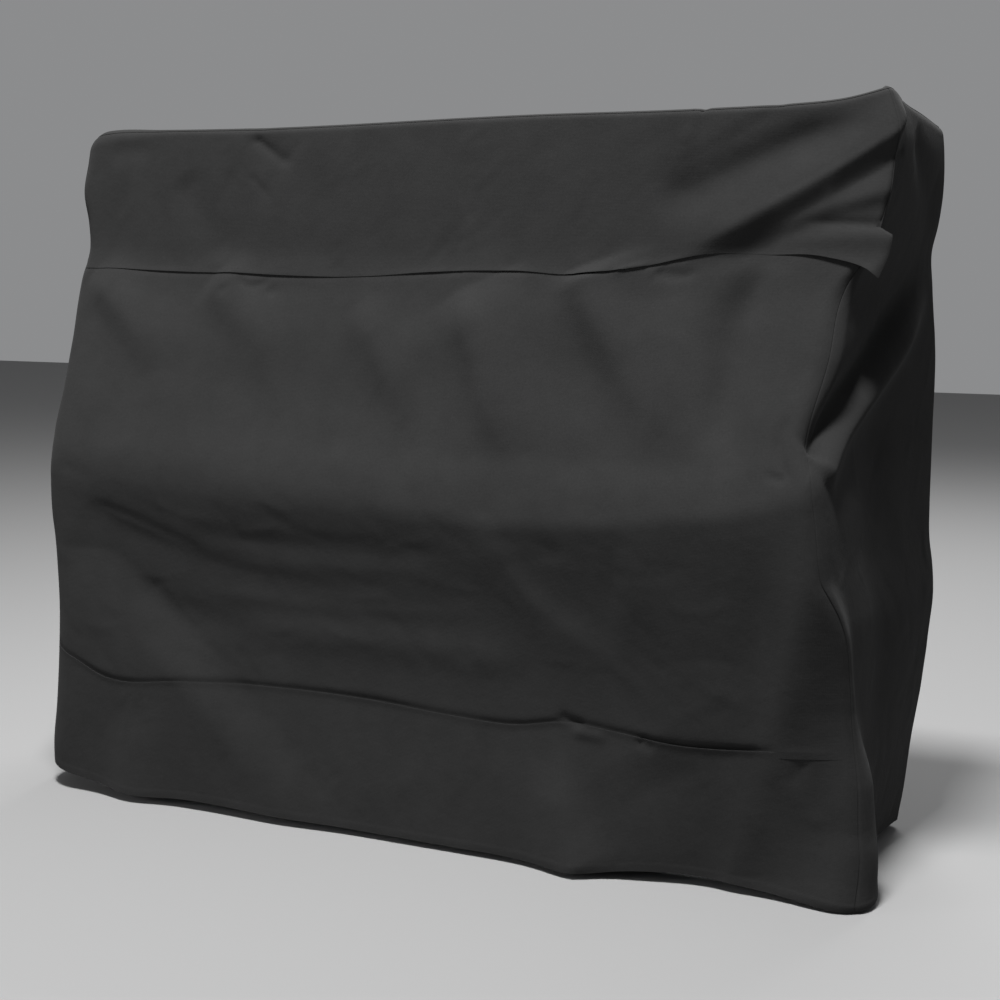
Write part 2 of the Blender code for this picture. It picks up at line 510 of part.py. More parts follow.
def corner_rows(girth):
    """Row heights for the panel beside a front corner, where it meets the front's panels row by row."""
    corner = np.array([girth])
    foot, seam, head = hem(corner)[0], lower_seam(corner)[0], front_head(corner)[0]
    rim, flap = rim_line(corner)[0], upper_seam(corner)[0]
    levels = [foot + r * (seam - foot) for r in BAND_ROWS]
    levels += [seam + r * (head - seam) for r in FRONT_ROWS[1:]]
    levels += [v for v in (flap + r * (rim - flap) for r in HOOD_ROWS) if v > head + 0.01]
    return [(v - foot) / (rim - foot) for v in levels]


def stitch(outer, inner):
    """Triangles between two runs of points that share their ends, the outer run to the right."""
    faces = []
    i = j = 0
    while i < len(outer) - 1 or j < len(inner) - 1:
        outer_next = (i + 1) / (len(outer) - 1)
        inner_next = (j + 1) / (len(inner) - 1)
        if i < len(outer) - 1 and (j == len(inner) - 1 or outer_next <= inner_next):
            faces.append((outer[i], outer[i + 1], inner[j]))
            i += 1
        else:
            faces.append((outer[i], inner[j + 1], inner[j]))
            j += 1
    return faces


def top_panel(sides, material):
    """Makes the top: it rolls in from the rim in two rings, then lies flat inside them."""
    loop = np.concatenate([side[:-1] for side in sides])
    count = len(loop)
    rim = rim_line(loop)
    soft = smooth(RIM, "girth", "soft", loop)
    rings = [skin(loop, rim + part * soft) for part in (0.0, 0.5, 1.0)]
    rings[0] = (rings[0][0] + rings[0][3] * SEAM_GAP / 2, *rings[0][1:])
    inner = rings[-1][0]
    ends = np.cumsum([0] + [len(side) - 1 for side in sides])
    low = inner[ends[0], :2] + TOP_BORDER
    high = inner[ends[2], :2] - TOP_BORDER
    u, v = np.meshgrid(np.linspace(0, 1, TOP_COLUMNS + 1), np.linspace(0, 1, TOP_ROWS + 1))
    wave = TOP_WAVE * np.sin(5.0 * u + 1.0) * np.sin(4.0 * v + 0.5)
    grid = np.stack([low[0] + u * (high[0] - low[0]), low[1] + v * (high[1] - low[1]), HEIGHT + wave], -1)
    index = 3 * count + np.arange(u.size).reshape(u.shape)
    faces = []
    for ring in (0, 1):
        for k in range(count):
            n = (k + 1) % count
            a, b = ring * count + k, ring * count + n
            faces.append((a, b, b + count, a + count))
    runs = (index[0], index[:, -1], index[-1, ::-1], index[::-1, 0])
    for start, end, run in zip(ends, ends[1:], runs):
        outer = [2 * count + k % count for k in range(start, end + 1)]
        faces += stitch(outer, [int(k) for k in run])
    faces += [(int(index[j, i]), int(index[j, i + 1]), int(index[j + 1, i + 1]), int(index[j + 1, i]))
              for j in range(TOP_ROWS) for i in range(TOP_COLUMNS)]
    points = np.concatenate([ring[0] for ring in rings] + [grid.reshape(-1, 3)])
    outs = np.concatenate([ring[1] for ring in rings] + [np.tile((0.0, 0.0, 1.0), (u.size, 1))])
    return add_sheet("top_panel", points, outs, faces, list(range(count)), count, material)


def columns(start, end, count):
    """Girths of a panel's columns: narrow beside its corner seams and even between them."""
    between = np.linspace(start + CORNER_COLUMN, end - CORNER_COLUMN, count - 1)
    return np.concatenate([[start], between, [end]])


def main():
    for old in list(bpy.data.objects):
        bpy.data.objects.remove(old, do_unlink=True)
    material = cloth_material()
    front = columns(-HALF, HALF, FRONT_COLUMNS)
    right = columns(HALF, SIDE_END, SIDE_COLUMNS)
    back = columns(SIDE_END, BACK_END, BACK_COLUMNS)
    left = columns(-SIDE_END, -HALF, LEFT_COLUMNS)
    wall("front_band", front, hem, lower_seam, BAND_ROWS, material)
    wall("front_panel", front, lower_seam, front_head, FRONT_ROWS, material)
    wall("hood", front, upper_seam, rim_line, HOOD_ROWS, material, extra=FLAP, shift=flare)
    for name, girths, corner in (("side_right", right, HALF), ("side_left", left, -HALF),
                                 ("back_panel", back, HALF)):
        wall(name, girths, hem, rim_line, corner_rows(corner), material)
    top_panel((front, right, back, left), material)


main()
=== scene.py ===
"""Looks of a fitted dust cover for an upright piano: near-black woven polyester, hung over the case.

The cover is one skin cut into seven sewn panels. A place on the skin has two numbers: its girth,
measured round the cover from the middle of the front (positive to the right), and its level, the
height above the floor line of the hem. Past the top rim the level counts on inward over the top.
All sizes are in metres, and the frame's origin lies under the middle of the flat top.
"""

from __future__ import annotations

import logging
import math
from dataclasses import dataclass
from enum import Enum
from typing import Callable, ClassVar, NamedTuple, Sequence

import bpy
import numpy as np
from mathutils import Matrix, Vector


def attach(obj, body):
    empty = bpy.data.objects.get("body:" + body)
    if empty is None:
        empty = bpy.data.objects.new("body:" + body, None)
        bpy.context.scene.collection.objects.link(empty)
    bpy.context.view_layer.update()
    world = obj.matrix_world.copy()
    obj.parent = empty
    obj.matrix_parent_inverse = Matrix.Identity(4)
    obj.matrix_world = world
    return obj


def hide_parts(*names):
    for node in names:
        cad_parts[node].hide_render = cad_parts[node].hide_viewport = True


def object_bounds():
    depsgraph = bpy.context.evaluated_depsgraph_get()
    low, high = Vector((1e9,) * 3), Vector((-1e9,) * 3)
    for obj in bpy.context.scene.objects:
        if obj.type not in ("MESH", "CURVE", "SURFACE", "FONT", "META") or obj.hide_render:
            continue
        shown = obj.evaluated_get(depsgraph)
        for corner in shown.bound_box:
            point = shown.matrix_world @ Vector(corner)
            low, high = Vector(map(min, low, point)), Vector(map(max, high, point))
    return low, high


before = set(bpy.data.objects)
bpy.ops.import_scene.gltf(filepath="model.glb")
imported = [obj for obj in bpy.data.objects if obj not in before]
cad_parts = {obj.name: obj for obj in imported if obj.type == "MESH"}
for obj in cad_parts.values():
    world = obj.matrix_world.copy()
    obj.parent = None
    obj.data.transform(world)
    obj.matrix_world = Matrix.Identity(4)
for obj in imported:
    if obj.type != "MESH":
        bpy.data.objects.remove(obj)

Array = np.ndarray
LineReader = Callable[[Array], Array]
LOG = logging.getLogger("piano_cover")
CAD_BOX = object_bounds()
CLOTH_MAP = "cloth"     # the mesh map that holds each place's position on the flat cloth


# ---------------------------------------------------------------- sizes
@dataclass(frozen=True)
class Cut:
    """The cover's driving dimensions."""

    width: float = 1.52             # nominal width
    depth: float = 0.53             # front of the keyboard to the back
    height: float = 1.25            # floor line to the top
    slope_depth: float = 0.14       # how far the slope runs back over the keyboard
    hood_lean: float = 0.015        # the hood leans back this much from its seam to the top
    hood_lean_end: float = 1.2      # the lean goes on over the rim, to this share of the hood
    hood_seam: float = 0.985        # nominal height of the upper cross seam
    slope_top_soft: float = 0.050   # rounding where the slope meets the hood, on both sides
    cheek_top: float = 0.46         # the undercut's left end runs down and inward from here
    cheek_lean: float = 1.2         # inward this much for each metre down
    undercut_fade: float = 0.16     # girth over which the undercut grows
    undercut_stop: float = 0.03     # it ends this far short of the right corner,
    undercut_out: float = 0.10      # and dies out over this
    flap_start: float = 0.66        # girth where the front panel begins to run up behind the flap
    flap_span: float = 0.09         # girth over which it rises,
    flap_rise: float = 0.030        # and by how much
    gore_soft: float = 0.020        # reach of the rounding where the corner's facet begins
    gore_back: float = 0.080        # behind the facet's edge the cloth goes back to the side over this
    back_seam_reach: float = 0.035  # folds fade out this far from the back's corner seams
    fold_span: float = 0.030        # a fold lifts the skin along its mean direction over this span
    rim_span: float = 0.030         # the rim rolls inward across the mean direction over this one
    lid_y: float = 0.34             # the frame's origin: midway back under the top
    lid_z: float = 1.248

    @property
    def half(self) -> float:
        """Girth of the right front corner."""
        return self.width / 2

    @property
    def side_end(self) -> float:
        """Girth of the right back corner."""
        return self.half + self.depth

    @property
    def back_end(self) -> float:
        """Girth of the left back corner, going round the back."""
        return self.side_end + self.width

    @property
    def round(self) -> float:
        """Once round the cover."""
        return 2 * (self.width + self.depth)

    @property
    def seat(self) -> Array:
        """The frame's origin, in the cover's own girth and level terms."""
        return np.array((0.0, self.lid_y, self.lid_z))


CUT = Cut()


class Section(NamedTuple):
    """Where the four upright edges stand at one level, and how round they are."""

    z: float
    left: float
    right: float
    back_left: float
    back_right: float
    round_left: float
    round_right: float
    round_back: float


class Line(NamedTuple):
    """One point of a line round the cover."""

    girth: float
    height: float


class Bend(NamedTuple):
    """One point of a rounded edge, with the reach of its rounding."""

    girth: float
    height: float
    soft: float


class Recess(NamedTuple):
    """How far the lower front hangs in behind the keyboard's edge at one level."""

    z: float
    depth: float


class Gore(NamedTuple):
    """Where the front turns back before the right corner, how far, and how far the edge stands out."""

    z: float
    start: float
    depth: float
    proud: float


class Share(NamedTuple):
    """How strongly a seam shows at one girth, from 0 to 1."""

    girth: float
    share: float


def table(kind: type, *rows: tuple[float, ...]) -> tuple:
    """Makes a table's rows, all of one kind."""
    return tuple(kind(*row) for row in rows)


SECTIONS = table(Section,
    (0.00, -0.806, 0.752, -0.780, 0.774, 0.090, 0.014, 0.030),
    (0.05, -0.802, 0.761, -0.780, 0.782, 0.075, 0.012, 0.030),
    (0.15, -0.784, 0.768, -0.781, 0.792, 0.060, 0.010, 0.028),
    (0.25, -0.771, 0.770, -0.782, 0.806, 0.050, 0.010, 0.026),
    (0.35, -0.765, 0.768, -0.782, 0.816, 0.045, 0.010, 0.025),
    (0.43, -0.766, 0.764, -0.783, 0.822, 0.040, 0.012, 0.025),
    (0.48, -0.770, 0.757, -0.783, 0.818, 0.040, 0.020, 0.024),
    (0.52, -0.774, 0.751, -0.783, 0.812, 0.038, 0.028, 0.024),
    (0.60, -0.774, 0.742, -0.784, 0.809, 0.034, 0.032, 0.022),
    (0.66, -0.770, 0.732, -0.784, 0.809, 0.030, 0.030, 0.022),
    (0.72, -0.774, 0.720, -0.784, 0.809, 0.030, 0.036, 0.022),
    (0.85, -0.782, 0.734, -0.785, 0.808, 0.028, 0.038, 0.022),
    (0.97, -0.790, 0.746, -0.786, 0.797, 0.026, 0.030, 0.022),
    (1.03, -0.777, 0.778, -0.786, 0.792, 0.024, 0.010, 0.020),
    (1.08, -0.783, 0.791, -0.787, 0.802, 0.026, 0.009, 0.020),
    (1.14, -0.797, 0.803, -0.787, 0.808, 0.028, 0.009, 0.022),
    (1.20, -0.790, 0.806, -0.787, 0.807, 0.034, 0.009, 0.024),
    (1.28, -0.780, 0.788, -0.788, 0.798, 0.036, 0.010, 0.026),
)
KEYBED = table(Bend,  # the edge over the keyboard's front, rounder at the left
    (-0.76, 0.640, 0.042), (-0.57, 0.626, 0.040), (-0.37, 0.606, 0.034), (-0.20, 0.592, 0.028),
    (0.00, 0.577, 0.020), (0.20, 0.568, 0.013), (0.38, 0.576, 0.012), (0.50, 0.592, 0.012),
    (0.62, 0.608, 0.013), (0.70, 0.630, 0.017), (0.76, 0.652, 0.022),
)
UPPER_SEAM = table(Line,  # hood to front panel, rising to the loose flap's edge at the right
    (-0.76, 0.992), (-0.57, 0.987), (-0.39, 0.982), (-0.11, 0.979), (0.00, 0.986), (0.17, 0.989),
    (0.32, 0.984), (0.41, 1.000), (0.49, 1.018), (0.60, 1.018), (0.69, 1.013), (0.73, 1.000),
    (0.76, 0.982),
)
LOWER_SEAM = table(Line,  # front panel to bottom band
    (-0.76, 0.268), (-0.70, 0.246), (-0.63, 0.218), (-0.44, 0.225), (-0.05, 0.230), (0.10, 0.221),
    (0.22, 0.220), (0.31, 0.235), (0.40, 0.229), (0.50, 0.219), (0.68, 0.231), (0.76, 0.236),
)
HEM = table(Line,  # the hem's height above the floor line, all the way round
    (-1.29, 0.004), (-1.05, 0.010), (-0.80, 0.026), (-0.70, 0.016), (-0.62, 0.007), (-0.54, -0.003),
    (-0.40, -0.001), (-0.25, -0.003), (0.00, -0.007), (0.20, -0.008), (0.39, -0.008), (0.47, 0.000),
    (0.58, 0.000), (0.66, -0.006), (0.72, -0.011), (0.76, -0.013), (0.80, 0.004), (0.85, 0.020),
    (0.98, 0.010), (1.12, 0.006), (1.22, 0.002), (1.29, -0.004), (1.60, 0.008), (2.05, 0.001),
    (2.45, 0.009), (2.81, 0.004),
)
RIM = table(Bend,  # the top edge
    (-1.29, 1.248, 0.020), (-1.00, 1.254, 0.040), (-0.76, 1.258, 0.038), (-0.69, 1.260, 0.026),
    (-0.60, 1.256, 0.016), (-0.40, 1.252, 0.014), (0.17, 1.257, 0.012), (0.46, 1.256, 0.012),
    (0.58, 1.258, 0.012), (0.68, 1.263, 0.012), (0.78, 1.279, 0.012), (0.90, 1.268, 0.014),
    (1.10, 1.262, 0.020), (1.29, 1.252, 0.020), (1.60, 1.251, 0.020), (2.05, 1.254, 0.018),
    (2.45, 1.250, 0.020), (2.81, 1.248, 0.020),
)
UNDERCUT = table(Recess,  # the cloth under the keyboard's edge hangs in, and the band comes out again
    (0.00, 0.006), (0.10, 0.014), (0.18, 0.022), (0.24, 0.027), (0.32, 0.0275), (0.40, 0.0235),
    (0.47, 0.0165), (0.53, 0.008), (0.58, 0.002), (0.62, 0.0), (0.70, 0.0),
)
GORE = table(Gore,  # below the keyboard the right corner is one flat facet, wider towards the hem
    (0.00, 0.622, 0.060, 0.022), (0.05, 0.630, 0.064, 0.022), (0.15, 0.642, 0.064, 0.021),
    (0.25, 0.665, 0.061, 0.020), (0.35, 0.692, 0.053, 0.019), (0.43, 0.712, 0.037, 0.016),
    (0.46, 0.722, 0.026, 0.012), (0.485, 0.730, 0.014, 0.006), (0.508, 0.736, 0.004, 0.0),
    (0.53, 0.740, 0.0, 0.0), (0.60, 0.740, 0.0, 0.0),
)
UPPER_SHOW = table(Share,  # the upper seam is faint at the left, in the middle and under the flap
    (-0.76, 0.2), (-0.66, 0.35), (-0.56, 0.75), (-0.42, 0.55), (-0.34, 0.85), (-0.24, 0.6),
    (-0.16, 0.3), (-0.06, 0.4), (0.00, 0.8), (0.08, 0.6), (0.16, 0.8), (0.24, 0.4), (0.32, 0.9),
    (0.40, 0.6), (0.46, 0.8), (0.52, 0.15), (0.62, 0.1), (0.68, 0.3), (0.72, 0.9), (0.76, 1.0),
)
LOWER_SHOW = table(Share,  # the lower seam ends abruptly before the right corner
    (-0.76, 0.3), (-0.70, 0.6), (-0.62, 1.0), (-0.50, 0.7), (-0.40, 0.9), (-0.25, 0.8), (-0.05, 1.0),
    (0.12, 0.7), (0.20, 1.0), (0.36, 0.8), (0.50, 1.0), (0.640, 0.9), (0.665, 0.1), (0.76, 0.0),
)

FRONTWARD, BACKWARD, RIGHTWARD, LEFTWARD = (0, -1), (0, 1), (1, 0), (-1, 0)
CORNERS = (     # girth, rounding, and the level directions into the corner and out of it
    (-CUT.side_end, "round_back", LEFTWARD, FRONTWARD), (-CUT.half, "round_left", FRONTWARD, RIGHTWARD),
    (CUT.half, "round_right", RIGHTWARD, BACKWARD), (CUT.side_end, "round_back", BACKWARD, LEFTWARD),
    (CUT.back_end, "round_back", LEFTWARD, FRONTWARD),
)


def read_table(rows: Sequence[NamedTuple], column: str, at: Array) -> Array:
    """Reads a table's column at any place along its first one, on a smooth curve through the rows.

    Args:
        rows: the table, sorted by its first column.
        column: name of the column to read.
        at: places along the first column.

    Returns:
        The column's value at each place.
    """
    keys = np.array([row[0] for row in rows])
    values = np.array([getattr(row, column) for row in rows])
    slopes = np.gradient(values, keys)
    at = np.clip(at, keys[0], keys[-1])
    i = np.clip(np.searchsorted(keys, at) - 1, 0, len(keys) - 2)
    span = keys[i + 1] - keys[i]
    t = (at - keys[i]) / span
    return (values[i] * (1 + 2 * t) * (1 - t) ** 2 + slopes[i] * span * t * (1 - t) ** 2
            + values[i + 1] * t ** 2 * (3 - 2 * t) + slopes[i + 1] * span * t ** 2 * (t - 1))


def reader(rows: Sequence[NamedTuple], column: str = "height") -> LineReader:
    """Makes a function that reads one column of a table at given girths."""
    return lambda girth: read_table(rows, column, girth)


# ---------------------------------------------------------------- folds
@dataclass(frozen=True)
class Fold:
    """A fold or crease along a bent run, with a depth and a half width at both ends.

    A depth below zero is a trough and above zero a ridge. An edge of 2 is soft and of 1 creased.
    Lean widens the side to the right of the run and narrows the other.
    """

    name: str
    run: tuple[tuple[float, float], tuple[float, float], tuple[float, float]]
    wide: tuple[float, float]
    deep: tuple[float, float]
    edge: float = 2.0
    lean: float = 0.0
    fade: tuple[float, float] = (0.16, 0.22)    # parts of the run over which it grows and dies out

    steps: ClassVar[int] = 20           # straight pieces in the run
    reach: ClassVar[float] = 4.0        # a fold is let go of this many half widths away
    open_at: ClassVar[tuple[float, float]] = (0.25, 0.15)   # share of the fade it already has at each end

    def lift(self, girth: Array, level: Array) -> Array:
        """Height of the fold at each place.

        Args:
            girth: girths of the places.
            level: their levels, in an array of the same shape.

        Returns:
            The lift of the skin along its outward direction.
        """
        start, middle, end = (np.array(point) for point in self.run)
        control = 2 * middle - (start + end) / 2
        t = np.linspace(0.0, 1.0, self.steps + 1)[:, None]
        path = (1 - t) ** 2 * start + 2 * t * (1 - t) * control + t ** 2 * end
        margin = self.reach * max(self.wide) * (1 + abs(self.lean))
        low, high = path.min(0) - margin, path.max(0) + margin
        near = (girth > low[0]) & (girth < high[0]) & (level > low[1]) & (level < high[1])
        result = np.zeros(girth.shape)
        g, v = girth[near], level[near]
        nearest, run, side = np.full(g.shape, np.inf), np.zeros(g.shape), np.zeros(g.shape)
        for step in range(self.steps):
            way = path[step + 1] - path[step]
            dx, dz = g - path[step][0], v - path[step][1]
            part = np.clip((dx * way[0] + dz * way[1]) / (way @ way), 0.0, 1.0)
            gap = np.hypot(dx - part * way[0], dz - part * way[1])
            closer = gap < nearest
            nearest = np.where(closer, gap, nearest)
            run = np.where(closer, (step + part) / self.steps, run)
            side = np.where(closer, np.sign(way[1] * dx - way[0] * dz), side)
        wide = self.wide[0] + run * (self.wide[1] - self.wide[0])
        deep = self.deep[0] + run * (self.deep[1] - self.deep[0])
        for fade, share, gone in zip(self.fade, self.open_at, (run, 1 - run)):
            if fade:
                deep = deep * eased(share + (1 - share) * gone / fade)
        result[near] = deep * np.exp(-(nearest / (wide * (1 + self.lean * side))) ** self.edge)
        return result


MAIN_FOLDS = (
    # hood: tension folds out of the right top corner
    Fold("pull_ridge", ((0.783, 1.228), (0.628, 1.120), (0.430, 1.012)),
         (0.026, 0.030), (0.012, 0.005), 1.8, 0.4, fade=(0.0, 0.25)),
    Fold("pull_trough", ((0.792, 1.190), (0.645, 1.090), (0.442, 0.982)),
         (0.028, 0.035), (-0.006, -0.013), 1.8, -0.35, fade=(0.30, 0.35)),
    Fold("pull_upper", ((0.700, 1.224), (0.560, 1.178), (0.380, 1.090)),
         (0.024, 0.044), (-0.010, -0.013), 1.9, -0.1, fade=(0.30, 0.15)),
    Fold("pull_patch", ((0.60, 1.262), (0.500, 1.205), (0.380, 1.150)),
         (0.014, 0.024), (-0.002, -0.002), 1.8, -0.2, fade=(0.1, 0.3)),
    Fold("pull_under", ((0.770, 1.122), (0.620, 1.077), (0.480, 1.018)),
         (0.026, 0.030), (0.010, 0.009), 1.9, 0.3, fade=(0.1, 0.3)),
    Fold("hood_left", ((-0.53, 1.170), (-0.48, 1.080), (-0.45, 1.000)),
         (0.035, 0.040), (-0.005, -0.004)),
    Fold("hood_nick", ((-0.385, 1.240), (-0.34, 1.205), (-0.29, 1.178)),
         (0.014, 0.020), (-0.005, -0.002), 1.4),
    # slope over the keyboard
    Fold("slope_far_left", ((-0.725, 0.980), (-0.608, 0.888), (-0.545, 0.790)),
         (0.045, 0.050), (0.024, 0.018), 1.9, -0.15, (0.2, 0.5)),
    Fold("slope_left", ((-0.445, 0.975), (-0.360, 0.900), (-0.280, 0.800)),
         (0.044, 0.050), (0.016, 0.012), 2.0, -0.1, (0.2, 0.6)),
    Fold("slope_swell", ((0.120, 0.975), (0.195, 0.830), (0.280, 0.640)),
         (0.105, 0.110), (0.018, 0.014), 2.0, 0.35, (0.25, 0.3)),
    Fold("slope_mid", ((-0.120, 0.930), (-0.050, 0.825), (0.020, 0.720)),
         (0.040, 0.046), (0.013, 0.015), 2.0, -0.15, (0.3, 0.5)),
    Fold("slope_centre", ((0.080, 0.960), (0.147, 0.815), (0.230, 0.670)),
         (0.040, 0.046), (0.017, 0.018), 1.9, -0.2, (0.3, 0.4)),
    Fold("slope_right", ((0.295, 1.000), (0.368, 0.880), (0.505, 0.725)),
         (0.046, 0.054), (0.024, 0.022), 1.9, -0.2, (0.15, 0.45)),
    Fold("slope_far_right", ((0.600, 0.995), (0.590, 0.850), (0.624, 0.670)),
         (0.032, 0.036), (-0.020, -0.026), 2.0, 0.2, (0.3, 0.4)),
    Fold("slope_crown", ((0.47, 0.950), (0.49, 0.840), (0.53, 0.700)),
         (0.040, 0.055), (0.006, 0.007), 2.0, 0.0, (0.4, 0.4)),
    Fold("slope_foot", ((-0.32, 0.700), (0.20, 0.684), (0.66, 0.692)),
         (0.055, 0.055), (-0.006, -0.009), 1.9, -0.25, (0.4, 0.2)),
    Fold("slope_hollow", ((-0.60, 0.760), (0.02, 0.785), (0.64, 0.855)),
         (0.085, 0.100), (-0.010, -0.016), 2.0, 0.0, (0.3, 0.2)),
    # lower front
    Fold("crease", ((-0.665, 0.548), (-0.36, 0.446), (0.14, 0.408)),
         (0.028, 0.040), (-0.0045, -0.0025), 1.8, 0.3, (0.1, 0.6)),
    Fold("swag", ((-0.42, 0.508), (-0.16, 0.498), (0.12, 0.511)),
         (0.020, 0.024), (-0.0030, -0.0030), 1.9),
    Fold("swag_ridge", ((-0.36, 0.452), (-0.10, 0.464), (0.13, 0.476)),
         (0.016, 0.018), (0.0008, 0.0006), 1.9),
    Fold("lip", ((-0.40, 0.398), (-0.12, 0.391), (0.15, 0.404)), (0.016, 0.018), (0.0020, 0.0010), 1.9),
    Fold("wedge", ((-0.54, 0.415), (-0.46, 0.350), (-0.20, 0.334)),
         (0.030, 0.034), (-0.005, -0.003), 2.0),
    Fold("low_line", ((-0.38, 0.336), (-0.02, 0.334), (0.24, 0.326)),
         (0.030, 0.030), (0.0045, 0.0035), 2.0),
    Fold("cheek", ((-0.74, 0.450), (-0.61, 0.360), (-0.46, 0.250)), (0.034, 0.046), (-0.004, -0.006)),
    Fold("centre_fold", ((0.205, 0.575), (0.240, 0.445), (0.430, 0.325)),
         (0.034, 0.048), (0.007, 0.005), 1.9, 0.4, (0.3, 0.3)),
    Fold("right_crown", ((0.40, 0.480), (0.52, 0.450), (0.64, 0.430)), (0.090, 0.090), (0.006, 0.005)),
    # band and hem
    Fold("hem_left", ((-0.55, 0.160), (-0.54, 0.080), (-0.53, 0.000)),
         (0.050, 0.060), (0.002, 0.018), fade=(0.4, 0.0)),
    Fold("hem_mid", ((-0.25, 0.120), (-0.24, 0.060), (-0.22, 0.000)),
         (0.070, 0.080), (0.002, 0.006), fade=(0.4, 0.0)),
    Fold("hem_out", ((0.30, 0.190), (0.325, 0.090), (0.365, 0.000)),
         (0.036, 0.056), (0.003, 0.032), 1.8, 0.3, fade=(0.5, 0.0)),
    Fold("hem_in", ((0.460, 0.225), (0.535, 0.110), (0.572, 0.000)),
         (0.100, 0.110), (-0.010, -0.038), fade=(0.3, 0.0)),
    # right front corner: a gore that flares to the hem's tip
    Fold("gore_tip", ((0.760, 0.110), (0.762, 0.060), (0.765, 0.000)),
         (0.036, 0.045), (0.002, 0.010), 1.8, fade=(0.4, 0.0)),
    Fold("gore_side", ((0.800, 0.300), (0.806, 0.140), (0.812, 0.000)),
         (0.045, 0.085), (0.020, 0.064), fade=(0.4, 0.0)),
    # right side: the long diagonal ridge and the valley in front of it
    Fold("side_ridge", ((0.794, 0.666), (0.930, 0.800), (1.112, 0.965)),
         (0.032, 0.040), (0.015, 0.027), 1.8, -0.1, fade=(0.05, 0.3)),
    Fold("side_valley", ((0.772, 0.700), (0.876, 0.826), (1.066, 0.992)),
         (0.026, 0.032), (-0.024, -0.018), 1.7, -0.3, fade=(0.05, 0.3)),
    Fold("side_low", ((0.990, 0.780), (0.985, 0.500), (0.965, 0.160)),
         (0.060, 0.080), (-0.006, -0.012)),
    Fold("side_high", ((0.900, 1.220), (0.980, 1.150), (1.120, 1.090)),
         (0.030, 0.050), (-0.008, -0.006), 1.9),
    # left side and back, which hang plainly
    Fold("left_ridge", ((-0.780, 0.664), (-0.920, 0.850), (-1.140, 0.990)),
         (0.026, 0.042), (0.010, 0.020), 1.8),
    Fold("left_valley", ((-0.790, 0.720), (-0.880, 0.890), (-1.040, 1.000)),
         (0.022, 0.036), (-0.010, -0.014), 1.8),
    Fold("left_low", ((-1.020, 0.700), (-1.030, 0.350), (-1.050, 0.000)),
         (0.060, 0.085), (-0.004, -0.022), fade=(0.3, 0.0)),
    Fold("left_hem", ((-0.900, 0.300), (-0.910, 0.150), (-0.920, 0.000)),
         (0.050, 0.080), (0.002, 0.018), fade=(0.4, 0.0)),
    Fold("back_first", ((1.560, 0.980), (1.580, 0.480), (1.610, 0.000)),
         (0.060, 0.100), (0.002, 0.016), fade=(0.3, 0.0)),
    Fold("back_second", ((1.800, 1.050), (1.790, 0.520), (1.820, 0.000)),
         (0.050, 0.090), (-0.003, -0.018), fade=(0.3, 0.0)),
    Fold("back_third", ((2.060, 0.900), (2.080, 0.440), (2.060, 0.000)),
         (0.070, 0.110), (0.002, 0.018), fade=(0.3, 0.0)),
    Fold("back_fourth", ((2.380, 1.020), (2.360, 0.500), (2.340, 0.000)),
         (0.060, 0.090), (-0.003, -0.016), fade=(0.3, 0.0)),
    Fold("back_fifth", ((2.600, 0.860), (2.620, 0.420), (2.600, 0.000)),
         (0.060, 0.090), (0.002, 0.014), fade=(0.3, 0.0)),
)
